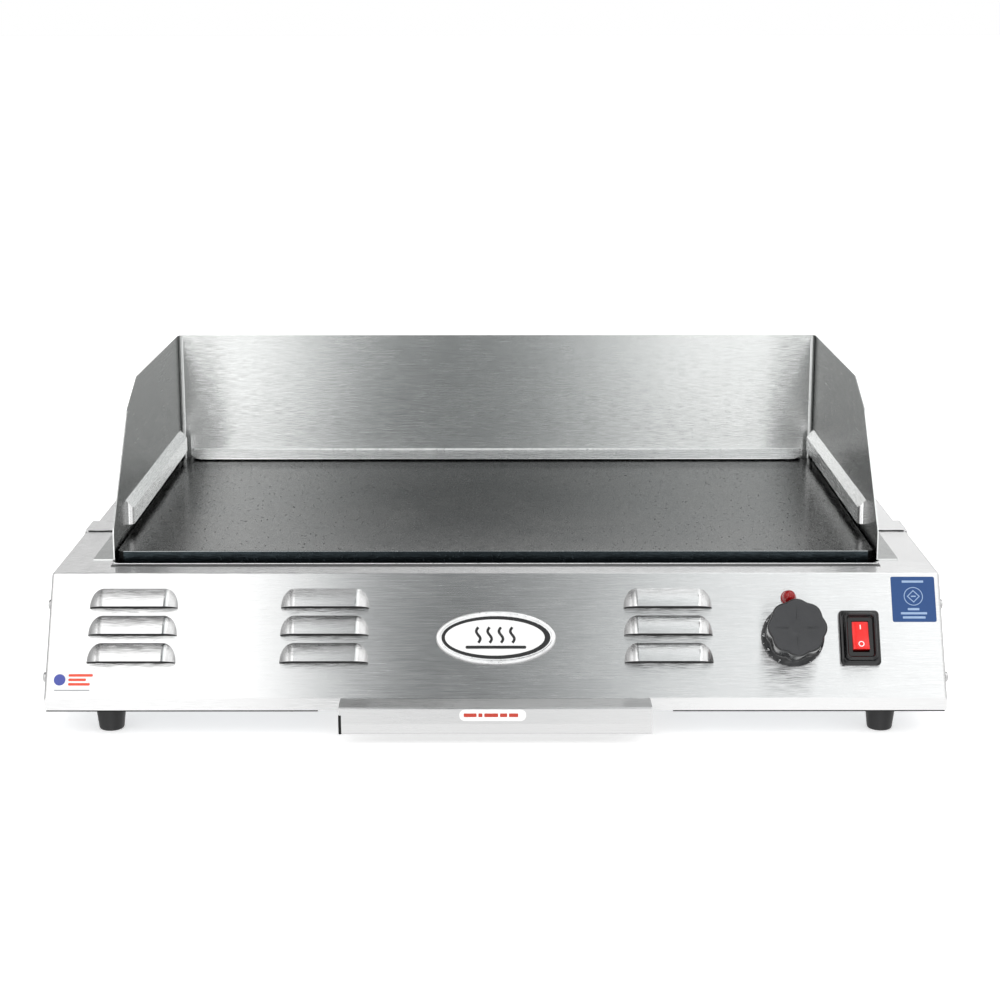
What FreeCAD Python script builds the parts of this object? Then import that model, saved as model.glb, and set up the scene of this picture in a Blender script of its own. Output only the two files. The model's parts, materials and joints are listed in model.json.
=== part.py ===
import FreeCAD, Part
import math
import os
import re
import Sketcher

# Countertop flat top griddle: a steel plate over two heating elements, in a sheet-metal body
# with a sloped control panel, a folded splash guard and a grease tray under the front.
# Frame: +X to the right of a person facing the controls, +Y to the back, +Z up, millimetres.
# The origin is at the middle of the footprint, on the surface that the feet stand on.

Vector = FreeCAD.Vector
Rotation = FreeCAD.Rotation

DIMENSIONS = {
    # body
    "front_y": -241.0,
    "body_width": 711.0,
    "body_depth": 490.0,
    "gauge": 1.2,
    "lip_base": 22.0,
    "bend_height": 32.0,
    "deck_height": 120.0,
    "slope_run": 52.4,
    "return_depth": 10.0,
    "bend_radius": 2.0,
    "lap_start": 192.0,
    "lap_depth": 36.0,
    "rear_width": 704.0,
    # opening in the deck
    "slot_front": 80.0,
    "slot_half": 314.0,
    "slot_chamfer": 10.0,
    "opening_back": 476.4,
    # griddle plate
    "plate_half": 310.0,
    "plate_front": 92.5,
    "plate_back": 466.0,
    "plate_top": 128.0,
    "plate_thick": 12.0,
    "plate_corner": 5.0,
    # splash guard
    "guard_gauge": 1.0,
    "guard_half": 313.4,
    "guard_front": 93.0,
    "guard_back": 475.6,
    "guard_top": 249.5,
    "guard_corner": 5.0,
    "guard_foot_end": 186.0,
    "guard_flange": 16.6,
    # louvers, in the plane of the control panel
    "louver_width": 70.5,
    "louver_flat": 48.0,
    "louver_length": 16.3,
    "louver_rise": 6.0,
    "louver_wall": 1.0,
    "louver_low": 28.4,
    "louver_pitch": 22.4,
    "louver_left": -288.3,
    "louver_middle": -135.8,
    "louver_right": 137.3,
    # controls, in the plane of the control panel
    "knob_across": 236.0,
    "knob_up": 49.7,
    "knob_radius": 23.4,
    "skirt_radius": 25.0,
    "lamp_across": 233.8,
    "lamp_up": 81.3,
    "switch_across": 288.7,
    "switch_up": 48.0,
    "switch_width": 32.0,
    "switch_length": 44.8,
    # name plate and labels
    "badge_width": 95.0,
    "badge_length": 43.6,
    "badge_up": 48.6,
    # grease tray
    "tray_half": 117.0,
    "tray_base": 12.0,
    "tray_rim": 30.4,
    "tray_depth": 250.0,
    "tray_gauge": 0.9,
    "handle_half": 122.0,
    "handle_reach": 22.0,
    "handle_top": 31.5,
    "channel_depth": 330.0,
    # feet
    "foot_across": 307.0,
    "foot_front": 23.0,
    "foot_rear": 452.0,
    "foot_radius": 12.2,
    "foot_tip_radius": 9.8,
    "foot_recess": 10.0,
    # pan, channel and trough
    "pan_edge": 10.0,
    "channel_top": 34.4,
    "chute_half": 28.0,
    "chute_front": 80.0,
    "chute_back": 96.0,
    "chute_low": 32.6,
    "trough_base": 99.0,
    "trough_front": 77.0,
    "trough_back": 99.0,
    "trough_half": 312.0,
    # plate supports and heating
    "thin": 0.8,
    "rail_half": 300.0,
    "rail_front": 100.0,
    "rail_rear": 460.0,
    "shield_half": 298.0,
    "shield_base": 60.0,
    "shield_top": 100.0,
    "mat_top": 90.0,
    "wire_height": 94.0,
    "element_radius": 4.0,
    "element_end": 20.0,
    "element_near": 85.0,
    "element_far": 235.0,
    "element_front": 135.0,
    "element_pitch": 90.0,
    "clamp_front": 115.0,
    "clamp_back": 428.0,
    # strips inside the splash guard
    "strip_edge": 306.0,
    "strip_top": 157.0,
    "strip_bend": 150.0,
    "strip_low": 136.0,
    "strip_front": 152.0,
    "strip_back": 462.0,
    "strip_round": 5.0,
    "back_strip_top": 135.4,
    "back_strip_front": 453.0,
    "back_strip_low": 130.4,
    "back_strip_half": 303.0,
    # small parts of the tray and the controls
    "handle_gap": 0.3,
    "rivet_height": 22.0,
    "skirt_top": 7.0,
    "knob_top": 30.0,
    "shaft_radius": 3.0,
    "lens_radius": 6.2,
    "lens_height": 11.0,
    "bezel_base": 4.5,
    "bezel_top": 10.0,
    "recess_half": 9.8,
    "recess_tall": 15.8,
    "flange_top": 6.4,
    "rocker_half": 6.3,
    "rocker_tall": 12.0,
    "rocker_pivot": 2.0,
    "rocker_swing": 14.0,
    "rocker_crown": 5.0,
    # back of the body
    "vent_pitch": 60.0,
    "vent_length": 40.0,
    "vent_gap": 4.0,
    "vent_base": 66.0,
    "vent_step": 12.0,
    "gland_across": 250.0,
    "gland_height": 50.0,
    "gland_radius": 9.5,
    "gland_bore": 4.2,
    "earth_across": 150.0,
    "earth_back": 440.0,
}

DECK_RISE = "(deck_height - bend_height)"
SLOPE_LENGTH = f"sqrt(slope_run^2 + {DECK_RISE}^2)"
TILT = f"atan(slope_run / {DECK_RISE})"
HALF_WIDTH = "body_width / 2"
REAR_HALF = "rear_width / 2"
PAN_TOP = "(lip_base + 2 * gauge)"
PLATE_UNDER = "(plate_top - plate_thick)"
LAP_END = "(lap_start + lap_depth)"
# The hood of a louver is turned about an axis this far below the panel's face.
HOOD_AXIS = "((louver_length^2 - louver_rise^2) / (2 * louver_rise))"
HOOD_ANGLE = f"asin(louver_length / ({HOOD_AXIS} + louver_rise))"
CLAMP_HIGH = f"({PLATE_UNDER} - 2 * element_radius - 0.4)"
CLAMP_LOW = f"({CLAMP_HIGH} - 3)"

# Where the fasteners are: (back, height) on the sides, across and back elsewhere.
FRONT_SIDE_SCREWS = [("14", "45"), ("46.5", "95.5"), ("172", "111")]
REAR_SIDE_SCREWS = [("290", "29"), ("430", "29")]
BOTTOM_SCREW_X = ["-321.6", "-160.7", "160.7", "321.6"]
FRONT_SCREW_Y = "5.5"
REAR_SCREW_Y = "(body_depth - 7)"
RIVET_X = ["-60", "60"]
CLAMP_X = ["-210", "-100", "100", "210"]
CLAMP_STUD_Y = ["180", "360"]
WIRE_HOLES = ["-30", "30", "60"]
FOOT_SPOTS = {
    "foot_front_left": ("-foot_across", "foot_front"),
    "foot_front_right": ("foot_across", "foot_front"),
    "foot_rear_left": ("-foot_across", "foot_rear"),
    "foot_rear_right": ("foot_across", "foot_rear"),
}

doc = FreeCAD.newDocument("flat_top_griddle")
sheet = doc.addObject("Spreadsheet::Sheet", "Dimensions")
for row, (alias, size) in enumerate(DIMENSIONS.items(), start=1):
    sheet.set(f"A{row}", alias)
    sheet.set(f"B{row}", str(size))
    sheet.setAlias(f"B{row}", alias)
doc.recompute()


# ---------------------------------------------------------------- helpers

def expression(text):
    """Write the sheet's name in front of every alias in the text."""
    def qualify(match):
        word = match.group(0)
        return "Dimensions." + word if word in DIMENSIONS else word
    return re.sub(r"[a-z][a-z_]+", qualify, str(text))


def number(text):
    found = sheet.evalExpression(expression(text))
    return float(getattr(found, "Value", found))


def bind(target, prop, text):
    target.setExpression(prop, expression(text))


def minus(text):
    return f"-({text})"


def piece(label):
    """A body named label, drawn from the middle of the lip's front face: y 0 is that face."""
    body = doc.addObject("PartDesign::Body", label)
    body.Label = label
    body.AllowCompound = True
    bind(body, "Placement.Base.y", "front_y")
    return body


def panel_piece(label, across="0", up="0"):
    """A body that stands on the sloped panel: x across, y up the slope, z out of its face. Its
    own origin is at (across, up) on the panel."""
    body = doc.addObject("PartDesign::Body", label)
    body.Label = label
    body.AllowCompound = True
    body.Placement = FreeCAD.Placement(Vector(0, 0, 0), Rotation(Vector(1, 0, 0), 60))
    bind(body, "Placement.Base.x", across)
    bind(body, "Placement.Base.y", f"front_y + ({up}) * sin({TILT})")
    bind(body, "Placement.Base.z", f"bend_height + ({up}) * cos({TILT})")
    bind(body, "Placement.Rotation.Angle", f"90 deg - {TILT}")
    return body


def plane_of(body, role):
    return next(item for item in body.Origin.OriginFeatures if item.Role == role)


def sketch_on(body, role, height="0"):
    """An empty sketch on a plane of the body's origin, moved along that plane's normal."""
    sketch = body.newObject("Sketcher::SketchObject", "Outline")
    sketch.AttachmentSupport = (plane_of(body, role), [""])
    sketch.MapMode = "FlatFace"
    bind(sketch, "AttachmentOffset.Base.z", height)
    return sketch


def fix_point(sketch, geometry, end, across, up):
    for kind, text in (("DistanceX", across), ("DistanceY", up)):
        constraint = Sketcher.Constraint(kind, -1, 1, geometry, end, number(text))
        index = sketch.addConstraint(constraint)
        sketch.setExpression(f"Constraints[{index}]", expression(text))


def ring(across, up, radius):
    """A circle for an outline list."""
    return ("ring", across, up, radius)


def oval(across, up, wide, tall):
    """An ellipse for an outline list, given by its half axes."""
    return ("oval", across, up, wide, tall)


def hexagon(across, up, corner):
    """A hexagon for an outline list; corner is the distance from its middle to a corner."""
    return [(f"{across} + ({corner}) * cos({60 * place} deg)",
             f"{up} + ({corner}) * sin({60 * place} deg)") for place in range(6)]


def box_outline(low_x, low_y, high_x, high_y):
    return [(low_x, low_y), (high_x, low_y), (high_x, high_y), (low_x, high_y)]


def draw(sketch, outline):
    """Draw one closed outline: a ring, an oval or a list of corners. A corner with four values
    starts an arc to the next corner, through the point that the last two values give."""
    if outline[0] == "ring":
        draw_ring(sketch, *outline[1:])
    elif outline[0] == "oval":
        draw_oval(sketch, *outline[1:])
    else:
        draw_corners(sketch, outline)


def draw_ring(sketch, across, up, radius):
    centre = Vector(number(across), number(up), 0)
    index = sketch.addGeometry(Part.Circle(centre, Vector(0, 0, 1), number(radius)))
    fix_point(sketch, index, 3, across, up)
    held = sketch.addConstraint(Sketcher.Constraint("Radius", index, number(radius)))
    sketch.setExpression(f"Constraints[{held}]", expression(radius))


def draw_oval(sketch, across, up, wide, tall):
    centre = Vector(number(across), number(up), 0)
    far_end = centre + Vector(number(wide), 0, 0)
    side = centre + Vector(0, number(tall), 0)
    sketch.addGeometry(Part.Ellipse(far_end, side, centre))


def draw_corners(sketch, outline, closed=True):
    spots = [Vector(number(corner[0]), number(corner[1]), 0) for corner in outline]
    if closed:
        spots.append(spots[0])
    stretches = []
    for place, (start, end) in enumerate(zip(spots, spots[1:])):
        corner = outline[place]
        if len(corner) == 4:
            middle = Vector(number(corner[2]), number(corner[3]), 0)
            curve, forward = arc_through(start, middle, end)
        else:
            curve, forward = Part.LineSegment(start, end), True
        index = sketch.addGeometry(curve)
        stretches.append((index, 1, 2) if forward else (index, 2, 1))
        if len(corner) == 4:
            centre = curve.Center
            sketch.addConstraint(Sketcher.Constraint("DistanceX", -1, 1, index, 3, centre.x))
    for place, (here, first, last) in enumerate(stretches):
        fix_point(sketch, here, first, outline[place][0], outline[place][1])
        if closed or place:
            before, _, joined = stretches[place - 1]
            sketch.addConstraint(Sketcher.Constraint("Coincident", before, joined, here, first))
    if not closed:
        here, _, last = stretches[-1]
        fix_point(sketch, here, last, outline[-1][0], outline[-1][1])


def arc_through(start, middle, end):
    """The arc from start through middle to end, and whether it turns anticlockwise."""
    circle = Part.Circle(start, middle, end)
    forward = (middle - start).cross(end - middle).z > 0
    first, last = (start, end) if forward else (end, start)
    upright = Part.Circle(circle.Center, Vector(0, 0, 1), circle.Radius)
    return Part.ArcOfCircle(upright, upright.parameter(first), upright.parameter(last)), forward


SKETCH_PLANES = {"x": "YZ_Plane", "y": "XZ_Plane", "z": "XY_Plane"}


def add(body, axis, outlines, low, high):
    """Pad the outlines along the axis, from low to high. Outlines are drawn as (y, z), (x, z) or
    (x, y). The plane that faces along y looks to the front, so that pad starts at its far end."""
    start = minus(high) if axis == "y" else low
    sketch = sketch_on(body, SKETCH_PLANES[axis], start)
    for outline in outlines:
        draw(sketch, outline)
    pad = body.newObject("PartDesign::Pad", "Pad")
    pad.Profile = sketch
    bind(pad, "Length", f"{high} - ({low})")
    body.Tip = pad
    doc.recompute()
    return pad


def cut(body, axis, outlines, low, high):
    """Pocket the outlines along the axis, from low to high."""
    before = body.Shape.Volume
    start = minus(low) if axis == "y" else high
    sketch = sketch_on(body, SKETCH_PLANES[axis], start)
    for outline in outlines:
        draw(sketch, outline)
    pocket = body.newObject("PartDesign::Pocket", "Pocket")
    pocket.Profile = sketch
    bind(pocket, "Length", f"{high} - ({low})")
    body.Tip = pocket
    doc.recompute()
    if body.Shape.Volume >= before:
        raise RuntimeError(f"{body.Label}: a pocket removed nothing")
    return pocket


WAYS = {"x": Vector(1, 0, 0), "y": Vector(0, 1, 0), "z": Vector(0, 0, 1)}
ACROSS = {"x": (1, 2), "y": (0, 2), "z": (0, 1)}


def round_chosen(body, radius, wanted):
    """Fillet the straight edges for which wanted(middle, direction), in the body's frame, is true."""
    to_body = body.Placement.inverse()
    found = []
    for place, edge in enumerate(body.Shape.Edges, start=1):
        if len(edge.Vertexes) != 2 or not isinstance(edge.Curve, Part.Line):
            continue
        first, last = (to_body.multVec(vertex.Point) for vertex in edge.Vertexes)
        if wanted((first + last) * 0.5, (last - first).normalize()):
            found.append(f"Edge{place}")
    if not found:
        raise RuntimeError(f"{body.Label}: no edge to round")
    base = body.Tip
    fillet = body.newObject("PartDesign::Fillet", "Fillet")
    fillet.Base = (base, found)
    bind(fillet, "Radius", radius)
    body.Tip = fillet
    doc.recompute()


def round_edges(body, radius, way, spots):
    """Fillet the edges that run along way through the given spots, as (y, z), (x, z) or (x, y)."""
    one, other = ACROSS[way]
    wanted_spots = [(number(first), number(second)) for first, second in spots]

    def wanted(middle, direction):
        if abs(direction.dot(WAYS[way])) < 0.999:
            return False
        return any(abs(middle[one] - first) < 0.05 and abs(middle[other] - second) < 0.05
                   for first, second in wanted_spots)
    round_chosen(body, radius, wanted)


def turn(body, kind, outlines, angle, up="0", out="0", facing="0 deg", reverse=False):
    """Revolve (PartDesign::Revolution) or groove (PartDesign::Groove) outlines about the sketch's
    horizontal axis. The sketch faces the front, moved up and out and tipped back by facing."""
    before = body.Shape.Volume if kind.endswith("Groove") else None
    sketch = sketch_on(body, "XZ_Plane", out)
    sketch.AttachmentOffset = FreeCAD.Placement(Vector(0, 0, 0), Rotation(Vector(1, 0, 0), 10))
    bind(sketch, "AttachmentOffset.Base.y", up)
    bind(sketch, "AttachmentOffset.Rotation.Angle", facing)
    for outline in outlines:
        draw(sketch, outline)
    feature = body.newObject(kind, "Turned")
    feature.Profile = sketch
    feature.ReferenceAxis = (sketch, ["H_Axis"])
    feature.Reversed = reverse
    bind(feature, "Angle", angle)
    body.Tip = feature
    doc.recompute()
    if before is not None and body.Shape.Volume >= before:
        raise RuntimeError(f"{body.Label}: a groove removed nothing")
    return feature


# ---------------------------------------------------------------- body shells

def slope_inside(height):
    """How far back the inner face of the sloped panel is at a height."""
    return f"(slope_run * ({height} - bend_height) + gauge * {SLOPE_LENGTH}) / {DECK_RISE}"


def side_outline(back):
    return [("0", "lip_base"), ("0", "bend_height"), ("slope_run", "deck_height"),
            (back, "deck_height"), (back, "lip_base")]


def panel_point(up, out):
    """The (back, height) of a point of the panel's plane, moved out along its normal."""
    back = f"({up}) * sin({TILT}) - ({out}) * cos({TILT})"
    height = f"bend_height + ({up}) * cos({TILT}) + ({out}) * sin({TILT})"
    return back, height


def louver_outline(across, inset, depth):
    """The mouth of a louver seen along the panel: a flat top that ends in a quarter round at
    each side. Up is measured from the axis that the hood is turned about."""
    crown = f"{HOOD_AXIS} + louver_rise - {inset}"
    foot = f"{HOOD_AXIS} - {depth}"
    face = HOOD_AXIS
    half = f"(louver_width / 2 - {inset})"
    flat = "(louver_flat / 2)"
    reach = f"({half} - {flat})"
    rise = f"(louver_rise - {inset})"
    bow = f"(({reach}^2 + {rise}^2) / (2 * {rise}))"
    swing = f"(asin({reach} / {bow}) / 2)"
    shoulder_x = f"{flat} + {bow} * sin({swing})"
    shoulder_y = f"{crown} - {bow} * (1 - cos({swing}))"
    return [(f"{across} - {half}", foot),
            (f"{across} + {half}", foot),
            (f"{across} + {half}", face, f"{across} + {shoulder_x}", shoulder_y),
            (f"{across} + {flat}", crown),
            (f"{across} - {flat}", crown, f"{across} - ({shoulder_x})", shoulder_y),
            (f"{across} - {half}", face)]


def press_louvers(body, up):
    """A row of three hoods across the panel, open at the bottom, with their mouth at up."""
    back, height = panel_point(up, minus(HOOD_AXIS))
    places = ["louver_left", "louver_middle", "louver_right"]
    hoods = [louver_outline(across, "0", "0.6") for across in places]
    hollows = [louver_outline(across, "louver_wall", "2 * gauge") for across in places]
    facing = f"90 deg - {TILT}"
    turn(body, "PartDesign::Revolution", hoods, HOOD_ANGLE, height, minus(back), facing, True)
    turn(body, "PartDesign::Groove", hollows, HOOD_ANGLE, height, minus(back), facing, True)


def cut_panel(body, outlines):
    """Cut outlines, drawn in the plane of the sloped panel, through the panel."""
    before = body.Shape.Volume
    sketch = sketch_on(body, "XZ_Plane")
    sketch.AttachmentOffset = FreeCAD.Placement(Vector(0, 0, 0), Rotation(Vector(1, 0, 0), -10))
    bind(sketch, "AttachmentOffset.Base.y", "bend_height")
    bind(sketch, "AttachmentOffset.Rotation.Angle", minus(TILT))
    for outline in outlines:
        draw(sketch, outline)
    pocket = body.newObject("PartDesign::Pocket", "Pocket")
    pocket.Profile = sketch
    bind(pocket, "Length", "4 * gauge")
    body.Tip = pocket
    doc.recompute()
    if body.Shape.Volume >= before:
        raise RuntimeError(f"{body.Label}: a pocket removed nothing")


def front_panel():
    """Lip, sloped control panel, front of the deck and both side skirts, folded from one sheet."""
    body = piece("front_panel")
    back = f"{LAP_END} - 2"
    add(body, "x", [side_outline(back)], minus(HALF_WIDTH), HALF_WIDTH)
    slope = Vector(0, number(f"sin({TILT})"), number(f"cos({TILT})"))
    round_chosen(body, "bend_radius", lambda middle, direction:
                 abs(direction.dot(slope)) > 0.999
                 or (abs(direction.x) > 0.999 and middle.y < number("slope_run + 1")
                     and middle.z > number("lip_base + 1"))
                 or (abs(direction.y) > 0.999 and middle.z > number("deck_height - 1")))
    inner = [("gauge", "lip_base + gauge"),
             ("gauge", f"bend_height - (gauge * {SLOPE_LENGTH} / {DECK_RISE} - gauge)"
                       f" * {DECK_RISE} / slope_run"),
             (slope_inside("deck_height - gauge"), "deck_height - gauge"),
             (f"{back} + 1", "deck_height - gauge"),
             (f"{back} + 1", "lip_base - 1"),
             ("return_depth", "lip_base - 1"),
             ("return_depth", "lip_base + gauge")]
    cut(body, "x", [inner], f"-({HALF_WIDTH} - gauge)", f"{HALF_WIDTH} - gauge")
    opening = [("-slot_half", "slot_front + slot_chamfer"),
               ("-slot_half + slot_chamfer", "slot_front"),
               ("slot_half - slot_chamfer", "slot_front"),
               ("slot_half", "slot_front + slot_chamfer"),
               ("slot_half", f"{back} + 1"),
               ("-slot_half", f"{back} + 1")]
    cut(body, "z", [opening], "deck_height - 3 * gauge", "deck_height + 1")
    mouth = box_outline("-(tray_half + 3)", "lip_base - 1", "tray_half + 3", "handle_top - 0.5")
    cut(body, "y", [mouth], "-1", "return_depth + 1")
    for row in range(3):
        press_louvers(body, f"louver_low + {row} * louver_pitch")
    cut_panel(body, [ring("knob_across", "knob_up", "5"),
                     ring("knob_across - 14", "knob_up", "2.1"),
                     ring("knob_across + 14", "knob_up", "2.1"),
                     ring("lamp_across", "lamp_up", "5.2"),
                     box_outline("switch_across - 10.6", "switch_up - 14.6",
                                 "switch_across + 10.6", "switch_up + 14.6")])
    cut(body, "z", [ring(across, FRONT_SCREW_Y, "2.2") for across in BOTTOM_SCREW_X],
        "lip_base - 1", "lip_base + 2 * gauge")
    cut(body, "x", [ring(back, height, "2.2") for back, height in FRONT_SIDE_SCREWS],
        "-400", "400")
    return body


def rear_housing():
    """The back half of the deck, both sides and the back. Its front edge is stepped out to lap
    over the front panel."""
    body = piece("rear_housing")
    lap_half = f"({HALF_WIDTH} + gauge)"
    lap_top = "(deck_height + gauge)"
    add(body, "x", [box_outline(f"{LAP_END} - 2 * gauge", "lip_base", "body_depth", "deck_height")],
        minus(REAR_HALF), REAR_HALF)
    add(body, "x", [box_outline("lap_start", "lip_base", LAP_END, lap_top)],
        minus(lap_half), lap_half)
    round_edges(body, "bend_radius", "y", [(minus(REAR_HALF), "deck_height"),
                                           (REAR_HALF, "deck_height"),
                                           (minus(lap_half), lap_top), (lap_half, lap_top)])
    round_edges(body, "bend_radius", "z", [(minus(REAR_HALF), "body_depth"),
                                           (REAR_HALF, "body_depth")])
    inside = f"({REAR_HALF} - gauge)"
    cut(body, "x", [box_outline("lap_start - 1", "lip_base - 1", "body_depth - gauge",
                                "deck_height - gauge")], minus(inside), inside)
    cut(body, "x", [box_outline("lap_start - 1", "lip_base - 1", f"{LAP_END} - gauge",
                                "deck_height")], minus(HALF_WIDTH), HALF_WIDTH)
    cut(body, "z", [box_outline("-slot_half", "lap_start - 1", "slot_half", "opening_back")],
        "deck_height - 3 * gauge", "deck_height + 3 * gauge")
    add(body, "z", [box_outline(minus(inside), "body_depth - gauge - return_depth", inside,
                                "body_depth - gauge / 2")], "lip_base", "lip_base + gauge")
    slots = []
    for column in range(6):
        for row in range(3):
            middle = f"({column} - 2.5) * vent_pitch"
            low = f"vent_base + {row} * vent_step"
            slots.append(box_outline(f"{middle} - vent_length / 2", low,
                                     f"{middle} + vent_length / 2", f"{low} + vent_gap"))
    cut(body, "y", slots, "body_depth - 3 * gauge", "body_depth + 1")
    cut(body, "y", [ring("gland_across", "gland_height", "gland_radius + 0.2")],
        "body_depth - 3 * gauge", "body_depth + 1")
    cut(body, "z", [ring(across, REAR_SCREW_Y, "2.2") for across in BOTTOM_SCREW_X],
        "lip_base - 1", "lip_base + 2 * gauge")
    cut(body, "x", [ring(back, height, "2.2") for back, height in REAR_SIDE_SCREWS],
        "-400", "400")
    return body


def base_pan():
    """The floor of the body, with a window over the grease tray and turned-up rear edges."""
    body = piece("base_pan")
    front_half = f"({HALF_WIDTH} - gauge - 0.3)"
    rear_half = f"({REAR_HALF} - gauge - 0.2)"
    rear_edge = "(body_depth - gauge - 0.3)"
    floor = "(lip_base + gauge)"
    step = f"({LAP_END} - 2)"
    outline = [(minus(front_half), "gauge + 0.3"), (front_half, "gauge + 0.3"),
               (front_half, step), (rear_half, step), (rear_half, rear_edge),
               (minus(rear_half), rear_edge), (minus(rear_half), step),
               (minus(front_half), step)]
    add(body, "z", [outline], floor, PAN_TOP)
    for low, high in ((minus(rear_half), f"-({rear_half} - gauge)"),
                      (f"{rear_half} - gauge", rear_half)):
        add(body, "z", [box_outline(low, f"{step} + 6", high, f"{rear_edge} - 12")], floor,
            f"{PAN_TOP} + pan_edge")
    window = box_outline("-(tray_half + 1)", "-1", "tray_half + 1", "channel_depth")
    cut(body, "z", [window], f"{floor} - 1", f"{PAN_TOP} + 1")
    holes = [ring(across, back, "2.2") for across in BOTTOM_SCREW_X
             for back in (FRONT_SCREW_Y, REAR_SCREW_Y)]
    holes += [ring(across, back, "2.3") for across, back in FOOT_SPOTS.values()]
    holes += [ring("earth_across", "earth_back", "2.1")]
    cut(body, "z", holes, f"{floor} - 1", f"{PAN_TOP} + 1")
    slots = []
    for column in (-2, -1, 1, 2):
        for row in range(3):
            middle = f"{column} * vent_pitch * 1.4"
            low = f"360 + {row} * 20" if abs(column) == 1 else f"180 + {row} * 20"
            slots.append(box_outline(f"{middle} - vent_length / 2", low,
                                     f"{middle} + vent_length / 2", f"{low} + vent_gap"))
    cut(body, "z", slots, f"{floor} - 1", f"{PAN_TOP} + 1")
    cut(body, "x", [ring(back, height, "2.2") for back, height in REAR_SIDE_SCREWS],
        "-400", "400")
    return body


def side_bracket(label, side):
    """An angle inside a side skirt: the skirt's screws bite into it, and it stands on the pan."""
    body = piece(label)
    outer = f"({HALF_WIDTH} - gauge)"
    inner = f"({outer} - gauge)"
    web = [("5.5", PAN_TOP), ("5.5", "bend_height + 4"), ("54", "deck_height - 1.5"),
           ("lap_start - 4", "deck_height - 1.5"), ("lap_start - 4", PAN_TOP)]
    foot = box_outline("5.5", PAN_TOP, "lap_start - 4", f"{PAN_TOP} + gauge")
    if side > 0:
        add(body, "x", [web], inner, outer)
        add(body, "x", [foot], f"{outer} - 14", outer)
    else:
        add(body, "x", [web], minus(outer), minus(inner))
        add(body, "x", [foot], minus(outer), f"-({outer} - 14)")
    cut(body, "x", [ring(back, height, "2.2") for back, height in FRONT_SIDE_SCREWS],
        "-400", "400")
    return body


def tray_channel():
    """An upside-down tray over the window of the pan, which keeps grease out of the body."""
    body = piece("tray_channel")
    half = "(tray_half + 1)"
    add(body, "z", [box_outline(f"-({half} + 14)", "3.4", f"{half} + 14",
                                "channel_depth + 14")], PAN_TOP, f"{PAN_TOP} + gauge")
    add(body, "z", [box_outline(f"-({half} + gauge)", "3.4", f"{half} + gauge",
                                "channel_depth + gauge")], PAN_TOP, "channel_top")
    cut(body, "z", [box_outline(minus(half), "-1", half, "channel_depth")],
        f"{PAN_TOP} - 1", "channel_top - gauge")
    cut(body, "z", [box_outline("-(chute_half + 0.4)", "chute_front - 0.4", "chute_half + 0.4",
                                "chute_back + 0.4")], "channel_top - 3 * gauge",
        "channel_top + 1")
    return body


# ---------------------------------------------------------------- plate and its supports

def griddle_plate():
    body = piece("griddle_plate")
    corner = "plate_corner"
    outline = [("-plate_half", f"plate_front + {corner}"),
               (f"-plate_half + {corner}", "plate_front"),
               (f"plate_half - {corner}", "plate_front"),
               ("plate_half", f"plate_front + {corner}"),
               ("plate_half", f"plate_back - {corner}"),
               (f"plate_half - {corner}", "plate_back"),
               (f"-plate_half + {corner}", "plate_back"),
               ("-plate_half", f"plate_back - {corner}")]
    add(body, "z", [outline], PLATE_UNDER, "plate_top")
    top = number("plate_top")
    round_chosen(body, "0.8", lambda middle, direction: abs(middle.z - top) < 0.01)
    return body


def plate_rail(label, web_back, flange_low, flange_high, foot_low, foot_high):
    """A folded rail that carries one long edge of the plate above the pan."""
    body = piece(label)
    add(body, "x", [[(foot_low, PAN_TOP), (foot_high, PAN_TOP),
                     (foot_high, f"{PAN_TOP} + gauge"), (foot_low, f"{PAN_TOP} + gauge")]],
        "-rail_half", "rail_half")
    add(body, "x", [box_outline(web_back, PAN_TOP, f"{web_back} + gauge", PLATE_UNDER)],
        "-rail_half", "rail_half")
    add(body, "x", [box_outline(flange_low, f"{PLATE_UNDER} - gauge", flange_high,
                                PLATE_UNDER)], "-rail_half", "rail_half")
    return body


def front_rail():
    body = plate_rail("plate_rail_front", "rail_front", "rail_front", "rail_front + 13",
                      "rail_front - 8", "rail_front + gauge")
    notch = box_outline("-(tray_half + 16)", f"{PAN_TOP} - 1", "tray_half + 16",
                        "channel_top + 1")
    cut(body, "y", [notch], "rail_front - 20", "rail_front + 20")
    cut(body, "y", [ring(across, "wire_height", "3.4") for across in WIRE_HOLES],
        "rail_front - 1", "rail_front + 2")
    return body


def rear_rail():
    return plate_rail("plate_rail_rear", "rail_rear", "rail_rear - 12", "rail_rear + gauge",
                      "rail_rear", "rail_rear + 14")


def heat_shield():
    """An open pan under the elements, between the two rails."""
    body = piece("heat_shield")
    add(body, "z", [box_outline("-shield_half", "rail_front + gauge", "shield_half",
                                "rail_rear")], "shield_base", "shield_top")
    cut(body, "z", [box_outline("-(shield_half - thin)", "rail_front + gauge + thin",
                                "shield_half - thin", "rail_rear - thin")],
        "shield_base + thin", "shield_top + 1")
    cut(body, "y", [ring(across, "wire_height", "3.4") for across in WIRE_HOLES],
        "rail_front", "rail_front + 4")
    return body


def insulation_mat():
    body = piece("insulation_mat")
    add(body, "z", [box_outline("-(shield_half - thin - 0.2)", "rail_front + gauge + thin + 0.2",
                                "shield_half - thin - 0.2", "rail_rear - thin - 0.2")],
        "shield_base + thin", "mat_top")
    return body


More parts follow.
